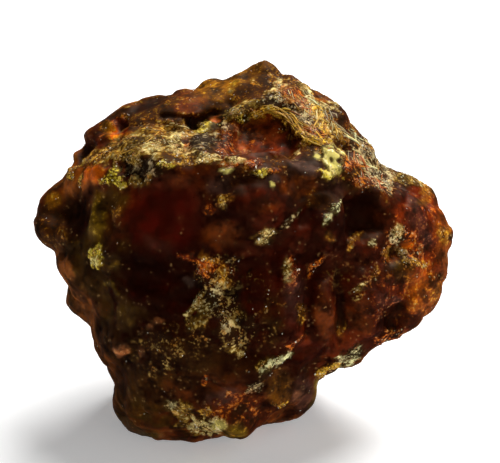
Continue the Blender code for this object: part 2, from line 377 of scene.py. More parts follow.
BOSSES = bosses_of(
    # broad face, from the top down
    (2.4, 17, 14, 5.8, 4.6, 12, -8, -2.6, 1), (12.6, 19.6, 8, 7, 5.5, 14, -40, 1.3, 1.5),
    (-9, 14.6, 15, 11, 2.8, 12, 6, 0.9, 1.5), (-15, 22.6, 8, 7, 2.4, 12, 14, 0.9, 1.3),
    (-10.1, 5.9, 18, 5.6, 5.6, 14, 0, -1.5, 1.2), (1.2, 6, 18, 7.4, 5, 14, 5, 1.4, 1.5),
    (9.2, 11.6, 16, 3.6, 2.4, 12, -15, 0.9, 1.2), (16.8, 5.4, 13, 4.2, 4.2, 12, 10, -3, 1),
    (9.3, 5.9, 16, 4.4, 2, 12, 32, -1.5, 1), (-27, 3.6, 6, 3.2, 3.6, 10, 0, 0.8, 1.3),
    (-24.5, 6.2, 8, 2.4, 3.8, 11, 0, -1.6, 1), (-20.8, 3, 12, 1.9, 5.4, 12, -6, 1, 1.2),
    (-22.8, 15, 5, 2.4, 1.9, 9, 30, -1.3, 1), (-14.2, -2.6, 15, 6.6, 3.2, 12, -8, -1.9, 1.1),
    (-8, -4.2, 17, 2.4, 2.3, 12, 0, -1.4, 1), (-4.4, -2.6, 18, 2.4, 5, 12, 26, 1.2, 1.4),
    (-4, -9.4, 17, 4, 3, 12, -35, 0.9, 1.4), (5.8, -1.4, 16, 1.9, 2.6, 12, 8, 0.9, 1.2),
    (11, -2.2, 15, 3.4, 1.9, 12, 20, -1.2, 1), (24, 3.5, 5, 4.6, 6.4, 11, 10, 1.1, 1.3),
    (23, -1.8, 9, 3, 2.6, 11, 0, 1.1, 1.2), (21.3, -8.4, 9, 2.6, 2.8, 10, 0, -1.4, 1),
    (17.4, -7.6, 12, 3, 4.8, 12, 14, 1.1, 1.1), (11, -8.2, 14, 2.8, 5.4, 12, 6, 1, 1.1),
    (5.6, -9.4, 15, 2.9, 4.4, 12, -8, 1.1, 1.1), (2, -12.6, 16, 5.2, 3.8, 12, 30, -0.8, 1.3),
    (-17.5, -11.5, 12, 4.6, 3.8, 12, 20, 1.1, 1.4), (-10.5, -14, 14, 5, 3.4, 12, -20, 0.8, 1.3),
    (-14.6, -21.5, 9, 5.2, 4.2, 12, 0, 1.4, 1.3), (-5.5, -18.6, 13, 5, 2.6, 12, -8, -1.1, 1.3),
    (-1.5, -23.5, 8, 3.4, 2.6, 10, 0, 1.1, 1.2), (4.6, -19.2, 10, 2.8, 2.4, 11, 0, 1, 1.2),
    (9, -20.6, 7, 3.4, 3.6, 10, 20, 1.1, 1.2), (10.6, -15.6, 9, 3.4, 2, 10, 30, -1, 1.1),
    # outline
    (2.6, 26.5, 0, 4.4, 3.4, 7, 0, 0.9, 1.3), (-4.8, 24.6, -1, 4, 3, 6, 10, 0.7, 1.3),
    (-28.5, 4.8, 1, 4.6, 5.4, 8, 0, 1, 1.2), (-25, -7.5, 0, 3.4, 4.2, 7, 15, 0.8, 1.3),
    (28.6, 2.6, 0, 2.6, 2.2, 6, 0, 0.8, 1.1), (27.5, -7, -1, 4, 4.6, 8, 0, 0.8, 1.3),
    # under it and behind
    (-1, -22, -11, 17, 8, 13, 0, 2.2, 1.3), (-10, 8, -19, 8, 6.5, 14, 0, 1.4, 1.4),
    (11, 10, -18, 6, 7, 14, 20, -1.8, 1.2), (4, -3, -20, 7, 5, 14, -20, 1.3, 1.4),
    (-14, -7, -16, 5.5, 5, 12, 0, -1.6, 1.1), (17, -6, -14, 5, 5.5, 12, 0, 1.3, 1.2),
    (-2, 20, -11, 6.5, 4, 10, 0, -1.3, 1.2), (-21, 13, -8, 4.6, 5.2, 10, 30, 1.2, 1.2),
    (20, 9.5, -9, 4, 4, 9, 0, -1.5, 1),
)


@dataclass
class LumpForm:
    """The lump's form, as its solid has it, for as many points as are asked for."""

    near_depth: float = 24.0
    far_depth: float = 23.0
    squareness: float = 0.84
    lean: float = math.radians(25.0)
    middle_height: float = 24.2
    middle_offset: tuple[float, float] = (0.83, 0.77)
    rim_band: float = 9.0
    sectors: int = 120
    outline: tuple[tuple[float, float], ...] = (
        (0, 29.1), (6, 29.9), (14, 29.1), (20, 28.6), (26, 26.2), (32, 23.8), (41, 23.4),
        (50, 24.1), (58, 25.4), (67, 25.7), (74, 26.5), (80, 27.3), (85, 28.1), (90, 26.8),
        (96, 25.6), (103, 26.0), (108, 25.3), (117, 26.1), (127, 27.4), (138, 28.4),
        (148, 28.9), (152, 28.0), (158, 28.9), (163, 30.2), (170, 30.8), (175, 29.9),
        (180, 27.4), (190, 26.2), (196, 26.6), (205, 25.0), (213, 25.7), (224, 26.6),
        (229, 29.6), (236, 31.5), (242, 31.2), (248, 28.6), (255, 27.7), (263, 26.7),
        (269, 26.9), (274, 25.0), (288, 24.9), (295, 23.6), (300, 21.4), (308, 21.1),
        (317, 22.6), (325, 22.8), (332, 25.3), (341, 27.6), (347, 28.5), (353, 29.3),
    )
    breaks: tuple[Break, ...] = (
        Break((-0.05, -0.12, 1.00), 18.6, 1.5),
        Break((0.02, 0.76, 0.65), 21.2, 1.2),
        Break((0.62, 0.05, 0.78), 21.4, 1.6),
        Break((0.45, -0.60, 0.66), 20.6, 1.6),
        Break((-0.78, 0.16, 0.60), 23.4, 1.6),
        Break((-0.60, -0.55, 0.58), 22.8, 1.6),
        Break((0.12, 0.28, -0.95), 18.8, 1.6),
        Break((-0.66, 0.12, -0.74), 21.0, 1.8),
        Break((0.70, -0.10, -0.70), 20.4, 1.8),
        Break((-0.10, -0.52, -0.85), 22.0, 1.6),
        Break((0.25, 0.86, -0.45), 22.4, 1.4),
        Break((-0.42, 0.70, -0.58), 22.8, 1.4),
    )
    bosses: tuple[Boss, ...] = BOSSES
    ledges: tuple[Ledge, ...] = (
        Ledge(((-25, 11.6), (-17, 10.6), (-12, 12.8), (-3, 12), (6.5, 12.4), (13.5, 12)), 1.7, 0.9),
        Ledge(((-3.5, 19.6), (1.5, 21.2), (5.8, 20.8), (9.4, 17), (12.2, 14.2)), 1.5, 1.3),
        Ledge(((-20.5, 19), (-13.6, 20.4), (-10, 19.6), (-7.4, 18.6), (-3.8, 20.4)), 1.6, -2),
        Ledge(((14, 16), (17.5, 12.5), (21.5, 10.8)), 2, -1),
        Ledge(((13.2, 7.6), (12.4, 4.8), (11.6, 1.6)), 1.4, 1),
        Ledge(((9.6, 0.8), (4.5, -2.6), (0.5, -1.4)), 1.5, -1),
        Ledge(((14.2, -3), (14.4, -7.4), (13.4, -11.6)), 1.4, -1),
        Ledge(((8.6, -4.4), (8.2, -8), (8.8, -12)), 1.4, -1),
        Ledge(((10.6, -11.6), (6.4, -14.2), (2, -15.8), (-3, -16.6)), 1.4, 0.9),
        Ledge(((-20, -4.5), (-19.5, -9), (-22, -14)), 1.5, -0.9),
        Ledge(((-8, 1.2), (-5, 0.2), (-1.4, -1)), 1.5, 0.8),
    )
    swells: tuple[tuple[float, float, int], ...] = ((21.0, 1.3, 11), (11.0, 0.8, 12))
    beads: tuple[tuple[float, float, int], ...] = ((8.2, 1.5, 21), (4.7, 0.85, 22))
    soft_sector: float = 18.0
    wander: tuple[float, float] = (0.8, 4.0)

    def outline_radius(self, angle: Array) -> Array:
        """The outline's radius: a closed cubic through the outline's points.

        Args:
            angle: turns round the middle, in radians.

        Returns:
            A radius for each.
        """
        marks = np.radians([mark for mark, _ in self.outline])
        radii = np.array([radius for _, radius in self.outline])
        marks = np.concatenate([marks - 2 * math.pi, marks, marks + 2 * math.pi])
        radii = np.tile(radii, 3)
        slopes = (np.roll(radii, -1) - np.roll(radii, 1)) / (np.roll(marks, -1) - np.roll(marks, 1))
        angle = np.mod(angle, 2 * math.pi)
        before = np.searchsorted(marks, angle, side="right") - 1
        span = marks[before + 1] - marks[before]
        t = (angle - marks[before]) / span
        return (
            radii[before] * (1 + 2 * t) * (1 - t) ** 2
            + radii[before + 1] * t * t * (3 - 2 * t)
            + slopes[before] * span * t * (1 - t) ** 2
            - slopes[before + 1] * span * t * t * (1 - t)
        )

    def soft_outline_radius(self, angle: Array) -> Array:
        """The outline with its small bumps smoothed away: its mean over a sector."""
        turns = np.radians(np.linspace(-self.soft_sector, self.soft_sector, 13))
        return np.mean([self.outline_radius(angle + turn) for turn in turns], axis=0)

    def blown_up(self, directions: Array) -> Array:
        """A boxy ellipsoid: the outline's radii across and up, and its own depths near and far.

        Args:
            directions: unit directions, one to a point.

        Returns:
            The points.
        """
        angle = np.arctan2(directions[:, 1], directions[:, 0])
        ring = np.hypot(directions[:, 0], directions[:, 1])
        near = directions[:, 2]
        radius = self.soft_outline_radius(angle) * ring**self.squareness
        depth = np.where(near > 0, self.near_depth, self.far_depth)
        depth = depth * np.abs(near) ** self.squareness * np.sign(near)
        return np.stack([radius * np.cos(angle), radius * np.sin(angle), depth], axis=1)

    def chipped(self, points: Array) -> Array:
        """Each break presses what stands beyond its plane back onto it, by a soft maximum.

        Args:
            points: places in the lump's own axes.

        Returns:
            The points, with every break.
        """
        for old in self.breaks:
            facing = unit(np.array(old.facing))
            over = old.softness * np.logaddexp(0, (points @ facing - old.distance) / old.softness)
            points = points - over[:, None] * facing
        return points

    def boss_rise(self, points: Array) -> Array:
        """The bosses' sum: (1 - q) to the edge's power, eased at its foot.

        q is the squared distance from a boss's middle, each axis over its half size.

        Args:
            points: places in the lump's own axes.

        Returns:
            How far each point rises.
        """
        rise = np.zeros(len(points))
        for boss in self.bosses:
            across, up, near = (points - boss.middle).T
            along, beside = on_ellipse(across, up, boss.halves, boss.turn)
            left = np.clip(1 - along**2 - beside**2 - (near / boss.halves[2]) ** 2, 0, 1)
            rise += boss.rise * left**boss.edge * np.clip(1.6 * left, 0, 1)
        return rise

    def ledge_rise(self, points: Array) -> Array:
        """The sum of the ledges and clefts, each a bell across its line, fading towards the back.

        Args:
            points: places in the lump's own axes.

        Returns:
            How far each point rises.
        """
        wander = self.wander[0] * smooth_noise(points, self.wander[1], Seed.WANDER)
        rise = np.zeros(len(points))
        for ledge in self.ledges:
            away = (distance_to_line(points[:, :2], ledge.line) + wander) / ledge.half_width
            rise += ledge.rise * np.exp(-np.clip(away, 0, None) ** 2)
        return rise * smooth_step((points[:, 2] - 1.0) / 6.0)

    def worn_flat(self, points: Array) -> Array:
        """Presses what reaches beyond the resting face, which faces down once it is leaned.

        Args:
            points: places in the lump's own axes.

        Returns:
            The points, none of them beyond the face.
        """
        down = np.array([0.0, -math.cos(self.lean), -math.sin(self.lean)])
        beyond = np.clip(points @ down - self.middle_height, 0, None)
        return points - beyond[:, None] * down

    def sector_reach(self, points: Array) -> Array:
        """How far the points reach in each sector round the broad face.

        Args:
            points: places in the lump's own axes.

        Returns:
            The farthest reach of each sector, evened out with its two neighbours'.
        """
        turn = np.mod(np.arctan2(points[:, 1], points[:, 0]), 2 * math.pi)
        sector = np.floor(turn / (2 * math.pi) * self.sectors).astype(int) % self.sectors
        reach = np.zeros(self.sectors)
        np.maximum.at(reach, sector, np.hypot(points[:, 0], points[:, 1]))
        return (np.roll(reach, 1) + 2 * reach + np.roll(reach, -1)) / 4

    def fitted_to_outline(self, points: Array) -> Array:
        """Scales each sector across and up, so that the lump's outline has the outline's radii.

        Args:
            points: places in the lump's own axes.

        Returns:
            The points, scaled.
        """
        angle = np.arctan2(points[:, 1], points[:, 0])
        radius = np.hypot(points[:, 0], points[:, 1])
        middles = (np.arange(self.sectors) + 0.5) * 2 * math.pi / self.sectors
        turn = np.mod(angle, 2 * math.pi)
        here = np.interp(turn, middles, self.sector_reach(points), period=2 * math.pi)
        soft = self.soft_outline_radius(angle) / here
        sharp = self.outline_radius(angle) / here
        rim = np.exp(-((points[:, 2] / self.rim_band) ** 2))
        rim = rim * smooth_step((radius / here - 0.6) / 0.35)
        scale = 1 + (soft - 1) * smooth_step(radius / here / 0.9) * (1 - rim) + (sharp - 1) * rim
        return points * np.stack([scale, scale, np.ones(len(points))], axis=1)

    def unfitted(self, directions: Array, squares: Array) -> Array:
        """The form before it is fitted to its outline: breaks, swells, bosses, ledges and beads.

        Args:
            directions: unit directions, one to a point.
            squares: four points to a square.

        Returns:
            The points.
        """
        points = self.chipped(self.blown_up(directions))
        normals = surface_normals(points, squares)
        rise = sum(height * smooth_noise(points, size, seed) for size, height, seed in self.swells)
        points = points + (rise + self.boss_rise(points) + self.ledge_rise(points))[:, None] * normals
        normals = surface_normals(points, squares)
        rise = sum(height * (bead_field(points, size, seed) - 0.5) for size, height, seed in self.beads)
        return self.worn_flat(points + rise[:, None] * normals)

    def shaped(self, directions: Array, squares: Array) -> Array:
        """The whole form but for the finest relief, from unit directions and the squares that join them."""
        return self.fitted_to_outline(self.unfitted(directions, squares))

    def set_down(self, points: Array) -> Array:
        """Leans the broad face back and sets the lump on its flat: millimetres to metres.

        Args:
            points: places in the lump's own axes.

        Returns:
            Places in the frame's axes, in metres, none of them below the ground.
        """
        across, up, near = points.T
        back = up * math.sin(self.lean) - near * math.cos(self.lean)
        height = up * math.cos(self.lean) + near * math.sin(self.lean) + self.middle_height
        x, y = across + self.middle_offset[0], back + self.middle_offset[1]
        return np.stack([x, y, np.maximum(height, 0.0)], axis=1) * MM


@dataclass(frozen=True)
class Eye:
    """An eye in front of the broad face, from which the crust's patches are laid out."""

    across: float = 0.72
    up: float = 3.38
    near: float = 330.0

    def seen(self, points: Array) -> Array:
        """Where points show on the plane through the lump's middle: they spread as they near.

        Args:
            points: places in the lump's own axes.

        Returns:
            Across and up on that plane, one row to a point.
        """
        spread = self.near / (self.near - points[:, 2])
        across = self.across + (points[:, 0] - self.across) * spread
        return np.stack([across, self.up + (points[:, 1] - self.up) * spread], axis=1)


# ---------------------------------------------------------------- tones of resin and crust


@dataclass(frozen=True)
class Finish:
    """What a stretch of the surface is made of.

    Attributes:
        colour: its own colour, linear.
        speck: the colour of the grains in it, linear.
        opaque: 0 for clear resin, 1 for crust that hides it.
        grainy: 0 for smooth, 1 for all grains.
        rough: its roughness.
    """

    colour: Colour
    speck: Colour
    opaque: float
    grainy: float
    rough: float


class Tone(Enum):
    """The tones of resin and of crust that the lump's surface is made up of."""

    CLEAR = Finish((0.300, 0.062, 0.002), (0.400, 0.115, 0.006), 0.15, 0.00, 0.14)
    EMBER = Finish((0.070, 0.001, 0.0001), (0.200, 0.014, 0.002), 0.45, 0.00, 0.40)
    # near-black resin; laid sunk into hollows and clefts it is also painted shade
    NIGHT = Finish((0.012, 0.001, 0.0000), (0.050, 0.008, 0.001), 0.75, 0.00, 0.56)
    MAROON = Finish((0.075, 0.005, 0.0003), (0.180, 0.021, 0.002), 0.70, 0.04, 0.42)
    # painted glow: bright orange that stands in for light shining through thin resin
    GLOW = Finish((0.800, 0.133, 0.001), (0.950, 0.440, 0.017), 0.92, 0.10, 0.42)
    # red-brown resin; its red is raised to stand in for glow where the recess lies in shade, a painted glow
    GARNET = Finish((0.175, 0.017, 0.0005), (0.480, 0.079, 0.002), 0.80, 0.08, 0.42)
    BROWN = Finish((0.125, 0.020, 0.0005), (0.420, 0.115, 0.006), 0.80, 0.04, 0.46)
    UMBER = Finish((0.070, 0.008, 0.0001), (0.280, 0.076, 0.005), 0.80, 0.05, 0.56)
    OLIVE = Finish((0.056, 0.024, 0.0005), (0.220, 0.115, 0.006), 0.80, 0.08, 0.46)
    MOSS = Finish((0.140, 0.072, 0.002), (0.360, 0.218, 0.014), 0.90, 0.18, 0.55)
    COPPER = Finish((0.125, 0.038, 0.001), (0.340, 0.142, 0.008), 0.95, 0.16, 0.70)
    HONEY = Finish((0.330, 0.111, 0.002), (0.660, 0.338, 0.017), 0.90, 0.22, 0.60)
    # amber-red resin; laid along the outline and on the rims it is a painted glow of light through thin
    # resin
    AMBER = Finish((0.340, 0.078, 0.003), (0.600, 0.205, 0.009), 0.75, 0.07, 0.40)
    HUSK = Finish((0.062, 0.015, 0.0003), (0.240, 0.100, 0.005), 1.00, 0.24, 0.78)
    CHALK = Finish((0.940, 0.779, 0.194), (1.000, 0.955, 0.616), 1.00, 0.19, 0.65)
    FROST = Finish((0.110, 0.071, 0.011), (0.860, 0.823, 0.390), 1.00, 0.62, 0.65)
    ASH = Finish((0.056, 0.024, 0.004), (0.680, 0.522, 0.249), 1.00, 0.52, 0.68)
    # grey-violet resin, and a painted sheen: blue-grey soft gloss put as colour on up-facing bits
    SLATE = Finish((0.054, 0.027, 0.020), (0.140, 0.076, 0.062), 0.95, 0.05, 0.66)
    BARK = Finish((0.080, 0.018, 0.0004), (0.400, 0.183, 0.017), 1.00, 0.38, 0.70)
    GOLD = Finish((0.230, 0.066, 0.001), (0.960, 0.570, 0.042), 1.00, 0.66, 0.50)
    TAN = Finish((0.170, 0.049, 0.001), (0.600, 0.309, 0.027), 1.00, 0.50, 0.72)
    RUST = Finish((0.110, 0.009, 0.0003), (0.620, 0.133, 0.006), 1.00, 0.50, 0.52)
    FLAME = Finish((0.180, 0.014, 0.0005), (0.840, 0.208, 0.010), 1.00, 0.56, 0.50)
    CREAM = Finish((0.300, 0.147, 0.013), (0.920, 0.725, 0.268), 1.00, 0.62, 0.80)
    LICHEN = Finish((0.155, 0.070, 0.004), (0.430, 0.262, 0.042), 1.00, 0.52, 0.78)
    LIME = Finish((0.220, 0.115, 0.001), (0.860, 0.654, 0.048), 1.00, 0.72, 0.60)
    SAND = Finish((0.030, 0.005, 0.0001), (0.500, 0.315, 0.080), 1.00, 0.42, 0.72)
    # black grit; laid sunk in the shelf's cavities it is also painted shade
    SOOT = Finish((0.016, 0.006, 0.001), (0.340, 0.247, 0.127), 1.00, 0.32, 0.70)
    SALMON = Finish((0.330, 0.097, 0.024), (0.740, 0.385, 0.152), 1.00, 0.10, 0.60)

    @property
    def row(self) -> Array:
        """Its finish as one row of numbers: colour, speck, opaque, grainy and rough."""
        made = self.value
        return np.array([*made.colour, *made.speck, made.opaque, made.grainy, made.rough])


# where a row of numbers holds what
COLOUR, SPECK = slice(0, 3), slice(3, 6)
OPAQUE, GRAINY, ROUGH = 6, 7, 8


@dataclass(frozen=True)
class Stretch:
    """A stretch of one tone, laid out as it shows from in front of the broad face.

    Attributes:
        tone: what it is made of.
        hold: how fully it covers what is under it.
        rise: how far it stands proud.
    """

    tone: Tone
    hold: float
    rise: float

    def inside(self, flat: Array, push: Array) -> Array:
        """How far inside its edge each point shows, as a share of its size: each kind its own way."""
        raise NotImplementedError

    def weight(self, flat: Array, push: Array) -> Array:
        """How fully it covers each point: resin with a soft edge, crust broken up into crumbs.

        Args:
            flat: where the points show from the eye.
            push: how far noise pushes them across and up, and in its last column frays them.

        Returns:
            0 to 1 for each point.
        """
        crumbly = smooth_step((np.array(self.tone.value.grainy) - 0.1) / 0.3)
        inside = self.inside(flat, push[:, :2]) + crumbly * (push[:, 2] - 0.12)
        return self.hold * smooth_step(inside / (0.9 - 0.5 * crumbly))


@dataclass(frozen=True)
class Patch(Stretch):
    """An ellipse, by its middle, and its half sizes along and beside a line turned by some degrees."""

    middle: tuple[float, float]
    halves: tuple[float, float]
    turn: float

    def inside(self, flat: Array, push: Array) -> Array:
        """1.45 at its middle, less the ellipse's distance; a small one is pushed about less.

        Args:
            flat: where the points show from the eye.
            push: how far noise pushes them across and up.

        Returns:
            One number for each point, above 0 inside.
        """
        reach = min(1.0, 0.2 + min(self.halves) / 3.0)
        across, up = (flat + reach * push - self.middle).T
        return 1.45 - np.hypot(*on_ellipse(across, up, self.halves, self.turn))


@dataclass(frozen=True)
class Vein(Stretch):
    """A line, by the points that it passes and half its width."""

    line: Pairs
    half_width: float

    def inside(self, flat: Array, push: Array) -> Array:
        """1.2 on its line, less three quarters of the distance to it over its half width."""
        return (1.6 - distance_to_line(flat + 0.5 * push, self.line) / self.half_width) * 0.75


def patches_of(*rows: tuple) -> tuple[Patch, ...]:
    """One patch to a row: tone, middle, two half sizes, turn, hold and, if it isn't 0, rise."""
    return tuple(Patch(row[0], row[6], sum(row[7:]), row[1:3], row[3:5], row[5]) for row in rows)


def veins_of(*rows: tuple) -> tuple[Vein, ...]:
    """One vein to a row: line, half width, tone, hold and, if it isn't 0, rise."""
    return tuple(Vein(row[2], row[3], sum(row[4:]), row[0], row[1]) for row in rows)


# the tones by their own names
(
    CLEAR, EMBER, NIGHT, MAROON, GLOW, GARNET, BROWN, UMBER, OLIVE, MOSS, COPPER, HONEY, AMBER, HUSK, CHALK,
    FROST, ASH, SLATE, BARK, GOLD, TAN, RUST, FLAME, CREAM, LICHEN, LIME, SAND, SOOT, SALMON,
) = Tone

# whole stretches: top slope, broad face, left flank, right lobe and foot
GROUNDS = patches_of(
    (HUSK, 0, 18, 26, 9, 0, 1), (NIGHT, 0, -4, 30, 17, 0, 1), (UMBER, -18, 8, 12, 5, 0, 0.9),
    (OLIVE, -22, -3, 6, 10, 10, 0.6), (MAROON, 10, -4, 13, 11, 0, 0.6), (OLIVE, -9, -17, 14, 6, 0, 0.35),
    (UMBER, 4, -22, 14, 5, 0, 0.8), (NIGHT, 0, -9.5, 5.5, 7.5, 0, 0.7), (GARNET, 25.5, 0, 5.5, 12, 0, 0.9),
)

# what the surface is made of where no patch lies: bare resin, and the crust on it
RESINS = (CLEAR, GARNET, UMBER, NIGHT, MAROON, OLIVE, UMBER, BROWN, EMBER)
CRUSTS = (HUSK, BARK, RUST, TAN, LICHEN, BARK)

# where the surface is worn smooth: plates, peak, recess, glassy hollow and foot
CALM = patches_of(
    (HUSK, -9.5, 22.4, 8, 2, 14, 0.9), (HUSK, 2.6, 25.4, 3, 2.4, 0, 0.7),
    (GARNET, 3.6, 16.4, 4, 3.2, 0, 0.7), (EMBER, -11, 5.6, 6, 4.6, 0, 0.8), (OLIVE, -8, -17, 9, 3, 0, 0.7),
)
